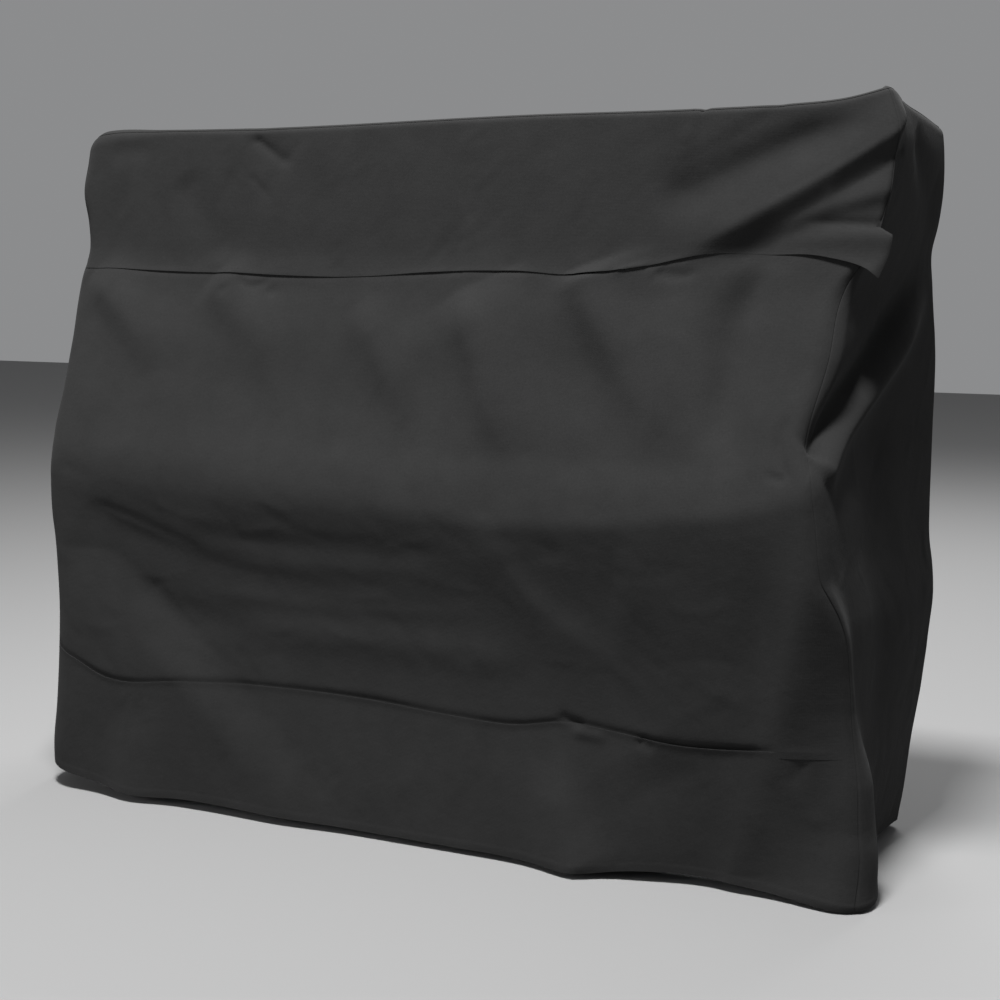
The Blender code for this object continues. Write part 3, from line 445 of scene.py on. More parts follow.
FINE_FOLDS = (
    # hood
    Fold("nick_line", ((-0.381, 1.234), (-0.343, 1.206), (-0.294, 1.179)),
         (0.007, 0.008), (-0.0035, -0.0015), 1.6),
    Fold("thin_line", ((-0.381, 1.164), (-0.356, 1.140), (-0.334, 1.114)),
         (0.005, 0.005), (-0.0022, -0.0010), 1.6),
    Fold("hood_shade", ((-0.690, 1.217), (-0.650, 1.214), (-0.600, 1.217)),
         (0.020, 0.020), (-0.0030, -0.0020)),
    Fold("rim_pucker", ((0.461, 1.256), (0.456, 1.220), (0.453, 1.188)),
         (0.006, 0.009), (-0.0030, -0.0010), 1.6, fade=(0.0, 0.4)),
    Fold("corner_line", ((0.800, 1.180), (0.760, 1.169), (0.734, 1.157)),
         (0.006, 0.006), (-0.0045, -0.0015), 1.5, fade=(0.0, 0.3)),
    Fold("pull_hair", ((0.772, 1.216), (0.640, 1.131), (0.500, 1.055)),
         (0.005, 0.006), (0.0016, 0.0008), 1.6),
    # upper seam's puckers
    Fold("seam_roll", ((-0.470, 0.992), (-0.330, 0.988), (-0.180, 0.990)),
         (0.020, 0.022), (0.0025, 0.0020), fade=(0.3, 0.3)),
    Fold("pucker_drop", ((-0.384, 0.976), (-0.352, 0.958), (-0.316, 0.974)),
         (0.006, 0.006), (-0.0030, -0.0030), 1.6),
    Fold("pucker_left", ((-0.412, 0.956), (-0.408, 0.948), (-0.402, 0.940)),
         (0.010, 0.010), (-0.0030, -0.0020)),
    Fold("pucker_right", ((-0.312, 0.956), (-0.306, 0.948), (-0.300, 0.940)),
         (0.010, 0.010), (-0.0030, -0.0020)),
    Fold("seam_smudge", ((0.425, 0.992), (0.455, 0.984), (0.500, 0.986)),
         (0.009, 0.009), (-0.0045, -0.0030), 1.8),
    Fold("seam_bump", ((0.355, 0.985), (0.380, 0.996), (0.405, 0.998)),
         (0.007, 0.007), (0.0030, 0.0030), 1.7),
    # keyboard's edge at the right corner
    Fold("key_corner", ((0.678, 0.672), (0.694, 0.669), (0.710, 0.665)),
         (0.006, 0.007), (-0.0030, -0.0050), 1.6),
    Fold("key_notch", ((0.712, 0.760), (0.704, 0.712), (0.722, 0.658)),
         (0.009, 0.008), (-0.0020, -0.0050), 1.7),
    # lower front
    Fold("left_pinch", ((-0.721, 0.617), (-0.680, 0.607), (-0.638, 0.593)),
         (0.012, 0.016), (-0.0020, -0.0010), 1.8),
    Fold("crease_line", ((-0.640, 0.550), (-0.530, 0.518), (-0.400, 0.470)),
         (0.008, 0.010), (-0.0025, -0.0015), 1.6),
    Fold("dimple", ((0.100, 0.328), (0.120, 0.328), (0.140, 0.328)),
         (0.016, 0.016), (-0.0012, -0.0012)),
    Fold("seam_pinch", ((0.296, 0.246), (0.318, 0.240), (0.345, 0.232)),
         (0.007, 0.008), (-0.0040, -0.0030), 1.7),
    Fold("seam_blister", ((0.325, 0.222), (0.355, 0.219), (0.385, 0.216)),
         (0.009, 0.009), (0.0040, 0.0030)),
    Fold("seam_dent", ((0.440, 0.222), (0.452, 0.214), (0.466, 0.206)),
         (0.010, 0.012), (-0.0040, -0.0020)),
    # right corner
    Fold("gore_line", ((0.704, 0.219), (0.696, 0.198), (0.686, 0.176)),
         (0.007, 0.010), (-0.0030, -0.0015), 1.7),
)
FLAP = (        # the hood's loose lower edge, which stands off the panel behind it
    Fold("flap_edge", ((0.600, 1.008), (0.690, 1.006), (0.770, 0.998)),
         (0.034, 0.042), (0.0012, 0.0060), fade=(0.5, 0.0)),
    Fold("flap_tip", ((0.735, 1.000), (0.760, 0.988), (0.790, 0.975)),
         (0.026, 0.040), (0.002, 0.010), fade=(0.3, 0.0)),
    Fold("flap_strip", ((0.590, 1.036), (0.690, 1.044), (0.800, 1.040)),
         (0.016, 0.018), (0.0020, 0.0050), 1.8, fade=(0.3, 0.0)),
    Fold("flap_dart", ((0.640, 1.068), (0.711, 1.066), (0.790, 1.060)),
         (0.006, 0.008), (-0.0020, -0.0060), 1.6, fade=(0.3, 0.0)),
)


@dataclass(frozen=True)
class Crumple:
    """Small seeded wrinkles, left by folding and handling, over one part of the skin."""

    seed: int
    count: int
    girths: tuple[float, float]
    levels: tuple[float, float]
    length: tuple[float, float] = (0.04, 0.13)
    wide: tuple[float, float] = (0.007, 0.015)
    deep: tuple[float, float] = (0.0004, 0.0011)
    tilt: float = 70.0      # mean direction from the level, in degrees
    spread: float = 40.0    # how far a wrinkle may turn from it
    bow: float = 0.2        # how far its middle may bow, as a share of half its length
    widens: float = 1.2     # its far end is this much wider
    thins: float = 0.4      # and only this deep
    edge: float = 1.8

    def folds(self) -> list[Fold]:
        """The wrinkles as short folds."""
        pick = np.random.default_rng(self.seed)
        made = []
        for number in range(self.count):
            at = np.array((pick.uniform(*self.girths), pick.uniform(*self.levels)))
            turn = math.radians(self.tilt + pick.uniform(-self.spread, self.spread))
            way = pick.uniform(*self.length) / 2 * np.array((math.cos(turn), math.sin(turn)))
            bend = pick.uniform(-self.bow, self.bow) * np.array((-way[1], way[0]))
            deep = pick.uniform(*self.deep) * pick.choice((-1.0, 1.0))
            wide = pick.uniform(*self.wide)
            run = (tuple(at - way), tuple(at + bend), tuple(at + way))
            made.append(Fold(f"wrinkle_{number}", run, (wide, wide * self.widens),
                             (deep, deep * self.thins), self.edge))
        return made


CRUMPLES = (
    Crumple(3, 46, (-0.72, 0.74), (1.02, 1.24), tilt=60.0),
    Crumple(5, 44, (-0.74, 0.70), (0.66, 0.96), tilt=110.0, length=(0.06, 0.16), deep=(0.0003, 0.0008)),
    Crumple(8, 64, (-0.74, 0.72), (0.26, 0.60), tilt=160.0, length=(0.06, 0.18)),
    Crumple(13, 40, (-0.74, 0.74), (0.02, 0.21), tilt=90.0),
    Crumple(21, 70, (0.80, 1.26), (0.03, 1.22), tilt=75.0, length=(0.05, 0.18)),
    Crumple(34, 70, (-1.26, -0.80), (0.03, 1.22), tilt=105.0, length=(0.05, 0.18)),
    Crumple(55, 90, (1.34, 2.76), (0.03, 1.22), tilt=90.0, length=(0.06, 0.22), deep=(0.0005, 0.0016)),
)


# ---------------------------------------------------------------- the skin
@dataclass
class Skin:
    """The cover's outer skin: plain sections with rounded corners, a rolled rim, and folds."""

    cut: Cut = CUT
    folds: tuple[Fold, ...] = MAIN_FOLDS + FINE_FOLDS
    crumples: tuple[Crumple, ...] = CRUMPLES

    def __post_init__(self) -> None:
        """Adds the seeded wrinkles to the folds."""
        for crumple in self.crumples:
            self.folds = self.folds + tuple(crumple.folds())

    def front_y(self, girth: Array, z: Array) -> Array:
        """How far back the front stands: upright below the keyboard's edge, sloping, then upright."""
        keybed = read_table(KEYBED, "height", girth)
        rise = self.cut.slope_depth / (self.cut.hood_seam - keybed)
        slope = rise * (ramp(z - keybed, read_table(KEYBED, "soft", girth))
                        - ramp(z - self.cut.hood_seam, self.cut.slope_top_soft))
        above = (z - self.cut.hood_seam) / (self.cut.height - self.cut.hood_seam)
        left = -self.cut.half + self.cut.cheek_lean * np.clip(self.cut.cheek_top - z, 0.0, 1.0)
        right = self.cut.half - self.cut.undercut_stop
        inside = eased((girth - left) / self.cut.undercut_fade)
        inside = inside * eased((right - girth) / self.cut.undercut_out)
        recess = read_table(UNDERCUT, "depth", z) * inside
        recess = recess + read_table(GORE, "depth", z) * self.facet(girth, z)
        return slope + self.cut.hood_lean * np.clip(above, 0.0, self.cut.hood_lean_end) + recess

    def facet(self, girth: Array, z: Array) -> Array:
        """How far across the right corner's facet a place is, from 0 to 1 at its edge."""
        start = read_table(GORE, "start", z)
        return ramp(girth - start, self.cut.gore_soft) / (self.cut.half - start)

    def outline(self, girth: Array, z: Array) -> tuple[Array, Array]:
        """The level section's point at this girth, as x and y, with its upright edges rounded."""
        cut = self.cut
        girth = np.where(girth < -cut.side_end, girth + cut.round, girth)
        girth = np.where(girth > cut.back_end, girth - cut.round, girth)
        level = {name: read_table(SECTIONS, name, z) for name in Section._fields[1:]}
        front = self.front_y(np.clip(girth, -cut.half, cut.half), z)
        across = np.clip((girth + cut.half) / cut.width, 0.0, 1.0)
        right = np.clip((girth - cut.half) / cut.depth, 0.0, 1.0)
        left = np.clip((-cut.half - girth) / cut.depth, 0.0, 1.0)
        back = np.clip((girth - cut.side_end) / cut.width, 0.0, 1.0)
        x = level["left"] + across * (level["right"] - level["left"])
        x = x + right * (level["back_right"] - level["right"])
        x = x + left * (level["back_left"] - level["left"])
        x = x + back * (level["back_left"] - level["back_right"])
        y = front + np.maximum(right, left) * (cut.depth - front)
        edge = self.facet(np.minimum(girth, cut.half), z) * eased(1 - (girth - cut.half) / cut.gore_back)
        x = x + read_table(GORE, "proud", z) * edge
        for corner, radius, along, then in CORNERS:
            first, second = corner_cut(girth - corner, level[radius])
            x = x + first * along[0] + second * then[0]
            y = y + first * along[1] + second * then[1]
        return x, y

    def base(self, girth: Array, level: Array) -> Array:
        """The plain skin without folds, as points. It rolls in at the rim."""
        rim = read_table(RIM, "height", girth)
        soft = read_table(RIM, "soft", girth)
        turn = (np.clip((level - rim) / soft, -1.0, 1.0) + 1.0) * math.pi / 4
        z = np.where(level > rim - soft, rim - soft + soft * np.sin(turn), level)
        inset = np.where(level > rim - soft, soft * (1.0 - np.cos(turn)), 0.0)
        inset = inset + np.maximum(level - rim - soft, 0.0)
        x, y = self.outline(girth, z)
        x_next, y_next = self.outline(girth + self.cut.rim_span, z)
        x_last, y_last = self.outline(girth - self.cut.rim_span, z)
        out_x, out_y = y_next - y_last, x_last - x_next
        size = np.hypot(out_x, out_y)
        return np.stack([x - inset * out_x / size, y - inset * out_y / size, z], axis=-1)

    def mean_out(self, girth: Array, level: Array) -> Array:
        """The plain skin's outward direction, taken over the span that folds lift along."""
        span = self.cut.fold_span
        along = self.base(girth + span, level) - self.base(girth - span, level)
        rise = self.base(girth, level + span) - self.base(girth, level - span)
        out = np.cross(along, rise)
        return out / np.linalg.norm(out, axis=-1, keepdims=True)

    def relief(self, girth: Array, z: Array, extra: Sequence[Fold]) -> Array:
        """All folds together. On the sides a place is measured from the front edge at its level."""
        cut = self.cut
        front = self.front_y(np.clip(girth, -cut.half, cut.half), z)
        behind = np.clip(np.abs(girth) - cut.half, 0.0, cut.depth) * (1 - front / cut.depth)
        on_side = (np.abs(girth) > cut.half) & (girth < cut.side_end)
        place = np.where(on_side, np.sign(girth) * (cut.half + behind), girth)
        to_seam = np.minimum(np.abs(np.abs(girth) - cut.side_end), np.abs(girth - cut.back_end))
        fade = np.clip(to_seam / cut.back_seam_reach, 0.0, 1.0)
        deep = sum(fold.lift(place, z) for fold in (*self.folds, *extra))
        return fade * fade * (3 - 2 * fade) * deep

    def place(self, girth: Array, level: Array, extra: Sequence[Fold] = ()) -> Array:
        """Points of the folded skin.

        Args:
            girth: girths of the places.
            level: their levels.
            extra: folds that only this panel has.

        Returns:
            Points in the frame, with the same leading shape.
        """
        plain = self.base(girth, level)
        lift = self.relief(girth, plain[..., 2], extra)
        return plain + self.mean_out(girth, level) * lift[..., None] - self.cut.seat


def eased(part: Array) -> Array:
    """Goes softly from 0 to 1 as the part does."""
    part = np.clip(part, 0.0, 1.0)
    return part * part * (3 - 2 * part)


def ramp(at: Array, reach: Array | float) -> Array:
    """A straight line that starts at zero, with its corner rounded over the reach on both sides."""
    return np.where(at > reach, at, np.where(at < -reach, 0.0, (at + reach) ** 2 / (4 * reach)))


def corner_cut(distance: Array, radius: Array) -> tuple[Array, Array]:
    """How an arc leaves a square corner: along the edge into it, and along the edge out of it."""
    near = np.clip(distance, -radius, radius)
    turn = (near / radius + 1.0) * math.pi / 4
    first = radius * (np.sin(turn) - 1.0) - np.minimum(near, 0.0)
    second = radius * (1.0 - np.cos(turn)) - np.maximum(near, 0.0)
    return first, second


def grid_normals(points: Array) -> Array:
    """Outward unit directions of a grid of points whose rows go up and whose columns go round."""
    out = np.cross(np.gradient(points, axis=1), np.gradient(points, axis=0))
    return out / np.linalg.norm(out, axis=-1, keepdims=True)


# ---------------------------------------------------------------- cloth and studio finishes
def linear(hex_colour: str) -> tuple[float, float, float, float]:
    """Turns an sRGB hex colour into linear RGBA."""
    parts = [int(hex_colour[i:i + 2], 16) / 255 for i in (0, 2, 4)]
    red, green, blue = ((c / 12.92 if c <= 0.04045 else ((c + 0.055) / 1.055) ** 2.4) for c in parts)
    return red, green, blue, 1.0


def add_node(tree: bpy.types.NodeTree, kind: str, links: dict[str, bpy.types.NodeSocket] | None = None,
             **settings: object) -> bpy.types.Node:
    """Adds a node with its settings and its links.

    Args:
        tree: the material's or world's node tree.
        kind: the node's type.
        links: input names and the outputs that feed them.
        settings: input names, with _ for a space, or properties, and their values.

    Returns:
        The new node.
    """
    node = tree.nodes.new(kind)
    for key, value in settings.items():
        name = key.replace("_", " ")
        if name in node.inputs:
            node.inputs[name].default_value = value
        else:
            setattr(node, key, value)
    for name, source in (links or {}).items():
        tree.links.new(source, node.inputs[name])
    return node


def add_noise(tree: bpy.types.NodeTree, place: bpy.types.NodeSocket, size: float, detail: float,
              roughness: float) -> bpy.types.NodeSocket:
    """Adds a noise whose marks are about the given size across, and returns its value."""
    noise = add_node(tree, "ShaderNodeTexNoise", {"Vector": place}, Scale=1 / size, Detail=detail,
                     Roughness=roughness)
    return noise.outputs["Fac"]


def add_math(tree: bpy.types.NodeTree, operation: str, first: bpy.types.NodeSocket,
             second: bpy.types.NodeSocket | float) -> bpy.types.NodeSocket:
    """Adds a maths node over a socket and another socket or a plain number."""
    node = add_node(tree, "ShaderNodeMath", operation=operation)
    tree.links.new(first, node.inputs[0])
    if isinstance(second, float):
        node.inputs[1].default_value = second
    else:
        tree.links.new(second, node.inputs[1])
    return node.outputs["Value"]


def fresh_material(name: str) -> tuple[bpy.types.Material, bpy.types.NodeTree, bpy.types.Node]:
    """A new material with its node tree and its Principled shader."""
    material = bpy.data.materials.new(name)
    material.use_nodes = True
    tree = material.node_tree
    return material, tree, tree.nodes["Principled BSDF"]


@dataclass(frozen=True)
class WovenPolyester:
    """Matt oxford-weave polyester, dyed near black.

    To the eye it is a soft, even black that goes faintly cool where light falls on it, with a
    very fine grain from the threads, slight clouding from handling, and no shine.
    """

    name: str = "woven_polyester_black"
    cloud_dark: str = "1f1f1f"
    cloud_light: str = "262626"
    cloud_size: float = 0.07        # clouding from folding and dust
    cloud_reach: tuple[float, float] = (0.30, 0.70)     # noise that is fully dark, and fully light
    grain_size: float = 0.004       # slubs in the yarn, drawn coarser than real so that they show
    thread_pitch: float = 0.0024    # real threads lie 0.5 mm apart, too fine to show
    thread_height: float = 0.00007
    wave_unit: float = 20.0         # a wave texture at scale 1 turns through this many radians a metre
    pucker_size: float = 0.022      # slight unevenness of the cloth between its wrinkles
    pucker_height: float = 0.0007
    roughness: float = 0.9
    specular: float = 0.06
    sheen: float = 0.02
    sheen_roughness: float = 0.6

    def material(self) -> bpy.types.Material:
        """Builds the cloth's material."""
        material, tree, shader = fresh_material(self.name)
        place = add_node(tree, "ShaderNodeTexCoord").outputs["Object"]
        threads = add_node(tree, "ShaderNodeUVMap", uv_map=CLOTH_MAP).outputs["UV"]
        cloud = add_noise(tree, place, self.cloud_size, 5.0, 0.6)
        grain = add_noise(tree, threads, self.grain_size, 2.0, 0.7)
        mean = add_math(tree, "MULTIPLY", add_math(tree, "ADD", grain, cloud), 0.5)
        ramp_node = add_node(tree, "ShaderNodeValToRGB", {"Fac": mean})
        low, high = ramp_node.color_ramp.elements
        low.position, high.position = self.cloud_reach
        low.color, high.color = linear(self.cloud_dark), linear(self.cloud_light)
        tree.links.new(ramp_node.outputs["Color"], shader.inputs["Base Color"])
        bands = 2 * math.pi / (self.wave_unit * self.thread_pitch)
        warp, weft = (add_node(tree, "ShaderNodeTexWave", {"Vector": threads}, bands_direction=way,
                               Scale=bands).outputs["Fac"] for way in ("X", "Y"))
        weave = add_math(tree, "MULTIPLY", warp, weft)
        pucker = add_noise(tree, threads, self.pucker_size, 3.0, 0.55)
        uneven = add_node(tree, "ShaderNodeBump", {"Height": pucker}, Distance=self.pucker_height,
                          Strength=1.0)
        woven = add_node(tree, "ShaderNodeBump", {"Height": weave, "Normal": uneven.outputs["Normal"]},
                         Distance=self.thread_height, Strength=1.0)
        tree.links.new(woven.outputs["Normal"], shader.inputs["Normal"])
        shader.inputs["Roughness"].default_value = self.roughness
        shader.inputs["Specular IOR Level"].default_value = self.specular
        shader.inputs["Sheen Weight"].default_value = self.sheen
        shader.inputs["Sheen Roughness"].default_value = self.sheen_roughness
        return material


@dataclass(frozen=True)
class MattPaint:
    """Matt emulsion on a studio floor: a pale, even surface with no gloss."""

    name: str = "studio_floor_paint"
    colour: str = "828282"
    roughness: float = 0.95
    specular: float = 0.1

    def material(self) -> bpy.types.Material:
        """Builds the floor's material."""
        material, _, shader = fresh_material(self.name)
        shader.inputs["Base Color"].default_value = linear(self.colour)
        shader.inputs["Roughness"].default_value = self.roughness
        shader.inputs["Specular IOR Level"].default_value = self.specular
        return material


def add_object(name: str, data: bpy.types.ID) -> bpy.types.Object:
    """Makes an object of the data and puts it in the scene."""
    made = bpy.data.objects.new(name, data)
    bpy.context.scene.collection.objects.link(made)
    return made


# ---------------------------------------------------------------- panels
class Held(Enum):
    DRAPED = "draped"
    HUNG = "hung"


@dataclass(frozen=True)
class Edge:
    """How a panel's edge is sewn: where it sits off the skin, and how far it runs on."""

    offset: float = -0.0008     # off the skin at the very edge: below zero is inward
    reach: float = 0.004        # distance over which it comes back to the skin
    allowance: float = 0.0      # runs on this far behind its neighbour
    hem: float = 0.0            # width of a turned-up hem along the edge
    show: tuple[Share, ...] = ()

    hem_lift: ClassVar[float] = 0.0005      # a hem is this much thicker
    hem_soft: ClassVar[float] = 0.0012      # and its upper edge is this soft
    stitch_in: ClassVar[float] = 0.002      # its row of stitches lies this far inside the edge
    stitch_deep: ClassVar[float] = 0.0004   # and pulls in this much
    stitch_wide: ClassVar[float] = 0.0022

    def lift(self, distance: Array, girth: Array) -> Array:
        """Lift of the skin near the edge.

        Args:
            distance: how far each place is from the seam line, below zero in the allowance.
            girth: its girth, for how strongly the seam shows there.

        Returns:
            The lift along the outward direction.
        """
        share = read_table(self.show, "share", girth) if self.show else 1.0
        lift = share * self.offset * np.exp(-(np.maximum(distance, 0.0) / self.reach) ** 2)
        if self.hem:
            inside = 1 / (1 + np.exp((distance - self.hem) / self.hem_soft))
            stitch = np.exp(-((distance - self.hem + self.stitch_in) / self.stitch_wide) ** 2)
            lift = lift + self.hem_lift * inside - self.stitch_deep * stitch
        return lift


@dataclass
class Panel:
    """A sewn panel of the cover, made as a thin closed sheet that replaces its CAD node."""

    name: str
    node: str
    flat: tuple[float, float]
    area: float | None = None
    held: Held = Held.HUNG
    rests_on: tuple[str, ...] = ("top_cloth",)
    thickness: float = 0.0012
    spacing: float = 0.006
    crease_angle: float = 60.0      # faces that meet at a sharper angle than this stay crisp

    def surface(self, skin: Skin) -> tuple[Array, Array, list[tuple[int, ...]]]:
        """Points, cloth coordinates and faces of the panel's outer skin."""
        raise NotImplementedError

    def build(self, skin: Skin) -> bpy.types.Object:
        """Builds the sheet with its thickness and its cloth map.

        Args:
            skin: the cover's skin.

        Returns:
            The finished mesh object.
        """
        points, cloth, faces = self.surface(skin)
        mesh = bpy.data.meshes.new(self.name)
        mesh.from_pydata(points.tolist(), [], faces)
        layer = mesh.uv_layers.new(name=CLOTH_MAP)
        corners = np.array([loop.vertex_index for loop in mesh.loops])
        layer.data.foreach_set("uv", cloth[corners].astype(np.float32).ravel())
        piece = add_object(self.name, mesh)
        wall = piece.modifiers.new("thickness", "SOLIDIFY")
        wall.thickness = self.thickness
        wall.offset = -1.0
        bpy.ops.object.select_all(action="DESELECT")
        bpy.context.view_layer.objects.active = piece
        piece.select_set(True)
        bpy.ops.object.modifier_apply(modifier=wall.name)
        piece.data.shade_smooth()
        piece.data.set_sharp_from_angle(angle=math.radians(self.crease_angle))
        return piece

    def dress(self, piece: bpy.types.Object, finish: bpy.types.Material) -> None:
        piece.data.materials.clear()
        piece.data.materials.append(finish)
        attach(piece, "root")
        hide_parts(self.node)
        LOG.info("%s: %d faces, cut to %.2f x %.2f m", self.name, len(piece.data.polygons), *self.flat)


def spaced(length: float, spacing: float, margin: float) -> Array:
    """Even distances between two margins of a length, no further apart than the spacing."""
    count = max(2, math.ceil((length - 2 * margin) / spacing) + 1)
    return np.linspace(margin, length - margin, count)


NEAR_EDGE = (0.0, 0.0008, 0.0018, 0.0032, 0.0055, 0.009)           # rows close to a seam
NEAR_HEM = (0.0, 0.004, 0.010, 0.014, 0.0165, 0.019, 0.0225)  # rows over a hem and its stitches


@dataclass(frozen=True)
class Flare:
    """The hood's right lower corner, which is open below a dart and stands out past the side."""

    start: float = 0.64     # girth where the flare begins
    dart: float = 1.055     # level of the dart, where the edge jogs out
    jog: float = 0.005      # height of the jog
    out: float = 0.020      # shift to the right just under the dart
    more: float = 0.24      # and this much more for each metre further down

    def shift(self, girth: Array, level: Array) -> Array:
        """Shift to the right at each place."""
        below = self.dart - level
        across = eased((girth - self.start) / (CUT.half - self.start))
        weight = across ** 2 * eased(0.5 + below / self.jog / 2)
        return weight * (self.out + self.more * np.maximum(below, 0.0))


@dataclass
class WallPanel(Panel):
    """An upright panel between two girths, from its low line to its high line."""

    first: float = 0.0
    last: float = 0.0
    low: LineReader = reader(HEM)
    high: LineReader = reader(RIM)
    low_edge: Edge = Edge()
    high_edge: Edge = Edge()
    side_edge: Edge = Edge(offset=0.0, reach=0.002)
    tucked: bool = False        # its upright edges run on behind the neighbours' edges
    extra: tuple[Fold, ...] = ()
    flare: Flare | None = None
    seam_gap: float = 0.0003
    tuck: float = 0.007
    hidden_rows: int = 4        # in an edge that runs on behind its neighbour
    step_in: float = 0.7        # from the rows beside a seam to the even ones, in spacings

    def girths(self) -> Array:
        """Girths of the panel's columns, closer beside its upright seams."""
        near = np.array(NEAR_EDGE)
        width = self.last - self.first
        middle = spaced(width, self.spacing, near[-1] + self.spacing * self.step_in)
        inside = np.concatenate([near, middle, width - near[::-1]])
        if self.tucked:
            tuck = np.array((self.tuck, self.tuck / 2))
            inside = np.concatenate([-tuck, inside, width + tuck[::-1]])
        else:
            inside[0], inside[-1] = self.seam_gap / 2, width - self.seam_gap / 2
        return self.first + inside

    def levels(self, girths: Array) -> tuple[Array, Array, Array]:
        """Levels of the panel's rows, and each one's distance from its low and high seam lines."""
        foot, head = self.low(girths), self.high(girths)
        low_near = np.array(NEAR_HEM if self.low_edge.hem else NEAR_EDGE)
        high_near = np.array(NEAR_EDGE)[::-1]
        hidden = np.linspace(0.0, 1.0, self.hidden_rows + 1)[1:]
        low_more = -self.low_edge.allowance * hidden[::-1] if self.low_edge.allowance else ()
        high_more = self.high_edge.allowance * hidden if self.high_edge.allowance else ()
        start, stop = (near + self.spacing * self.step_in for near in (low_near[-1], high_near[0]))
        tallest = float((head - foot).max())
        parts = np.linspace(0.0, 1.0, max(3, math.ceil((tallest - start - stop) / self.spacing) + 1))
        rows = [foot + distance for distance in (*low_more, *low_near)]
        rows += [foot + start + part * (head - foot - start - stop) for part in parts]
        rows += [head - distance for distance in high_near]
        rows += [head + distance for distance in high_more]
        levels = np.array(rows)
        return levels, levels - foot, head - levels

    def surface(self, skin: Skin) -> tuple[Array, Array, list[tuple[int, ...]]]:
        """Points, cloth coordinates and faces of the panel's outer skin."""
        girths = self.girths()
        levels, above, below = self.levels(girths)
        girth = np.broadcast_to(girths, levels.shape)
        points = skin.place(girth, levels, self.extra)
        if self.flare:
            points[..., 0] += self.flare.shift(girth, levels)
        lift = self.low_edge.lift(above, girth) + self.high_edge.lift(below, girth)
        for distance in (girth - self.first, self.last - girth):
            lift = lift + self.side_edge.lift(distance, girth)
        points = points + grid_normals(points) * lift[..., None]
        index = np.arange(levels.size).reshape(levels.shape)
        faces = np.stack([index[:-1, :-1], index[:-1, 1:], index[1:, 1:], index[1:, :-1]], axis=-1)
        cloth = np.stack([girth, levels], axis=-1)
        return points.reshape(-1, 3), cloth.reshape(-1, 2), faces.reshape(-1, 4).tolist()


@dataclass
class TopPanel(Panel):
    """The flat top, rolled over the lid's edges, and loose enough to lie in low waves."""

    held: Held = Held.DRAPED
    rests_on: tuple[str, ...] = ()
    spacing: float = 0.009
    rolls: tuple[float, ...] = (0.0, 0.12, 0.26, 0.42, 0.58, 0.72, 0.86, 1.0)
    rings: int = 16
    flat_reach: float = 0.045       # the rim's own ups and downs die out this far in
    flat_ease: float = 1.5
    sag: float = 0.0022
    long_wave: tuple[float, float] = (5.0, 9.0)         # radians per metre, across and back
    short_wave: tuple[float, float] = (13.0, -6.0)
    phases: tuple[float, float] = (1.0, 0.5)
    short_share: float = 0.5
    hang: float = 0.3               # the waves' middle lies this part of the sag below the lid

    def surface(self, skin: Skin) -> tuple[Array, Array, list[tuple[int, ...]]]:
        """Points, cloth coordinates and faces, in rings from the rim to the middle line."""
        cut = skin.cut
        ends = (-cut.half, cut.half, cut.side_end, cut.back_end, -cut.half + cut.round)
        loop = np.concatenate([a + spaced(b - a, self.spacing, 0.0)[:-1] for a, b in zip(ends, ends[1:])])
        loop = np.where(loop > cut.back_end, loop - cut.round, loop)
        rim, soft = read_table(RIM, "height", loop), read_table(RIM, "soft", loop)
        levels = rim + np.array(self.rolls)[:, None] * soft
        rolled = skin.place(np.broadcast_to(loop, levels.shape), levels)
        inner = rolled[-1]
        middle_y = (inner[:, 1].min() + inner[:, 1].max()) / 2
        reach_x = inner[:, 0].max() - (inner[:, 1].max() - inner[:, 1].min()) / 2
        spine = np.stack([np.clip(inner[:, 0], -reach_x, reach_x), np.full(len(loop), middle_y)], -1)
        parts = np.linspace(0.0, 1.0, self.rings + 1)[1:, None, None]
        flat = inner[None, :, :2] + parts * (spine - inner[:, :2])
        far = np.linalg.norm(flat - inner[:, :2], axis=-1)
        level_top = cut.height - cut.lid_z + self.waves(flat[..., 0], flat[..., 1])
        height = level_top + (inner[:, 2] - level_top) * np.exp(-(far / self.flat_reach) ** self.flat_ease)
        points = np.concatenate([rolled, np.concatenate([flat, height[..., None]], axis=-1)])
        count = len(loop)
        index = np.arange(len(points) * count).reshape(len(points), count)
        round_on = np.roll(index, -1, axis=1)
        faces = np.stack([index[:-1], round_on[:-1], round_on[1:], index[1:]], axis=-1)
        return points.reshape(-1, 3), points.reshape(-1, 3)[:, :2], faces.reshape(-1, 4).tolist()

    def waves(self, x: Array, y: Array) -> Array:
        """Low waves of the loose top."""
        wide = np.sin(self.long_wave[0] * x + self.phases[0])
        wide = wide * np.sin(self.long_wave[1] * y + self.phases[1])
        short = np.sin(self.short_wave[0] * x + self.short_wave[1] * y)
        return self.sag * (wide + self.short_share * short - self.hang)


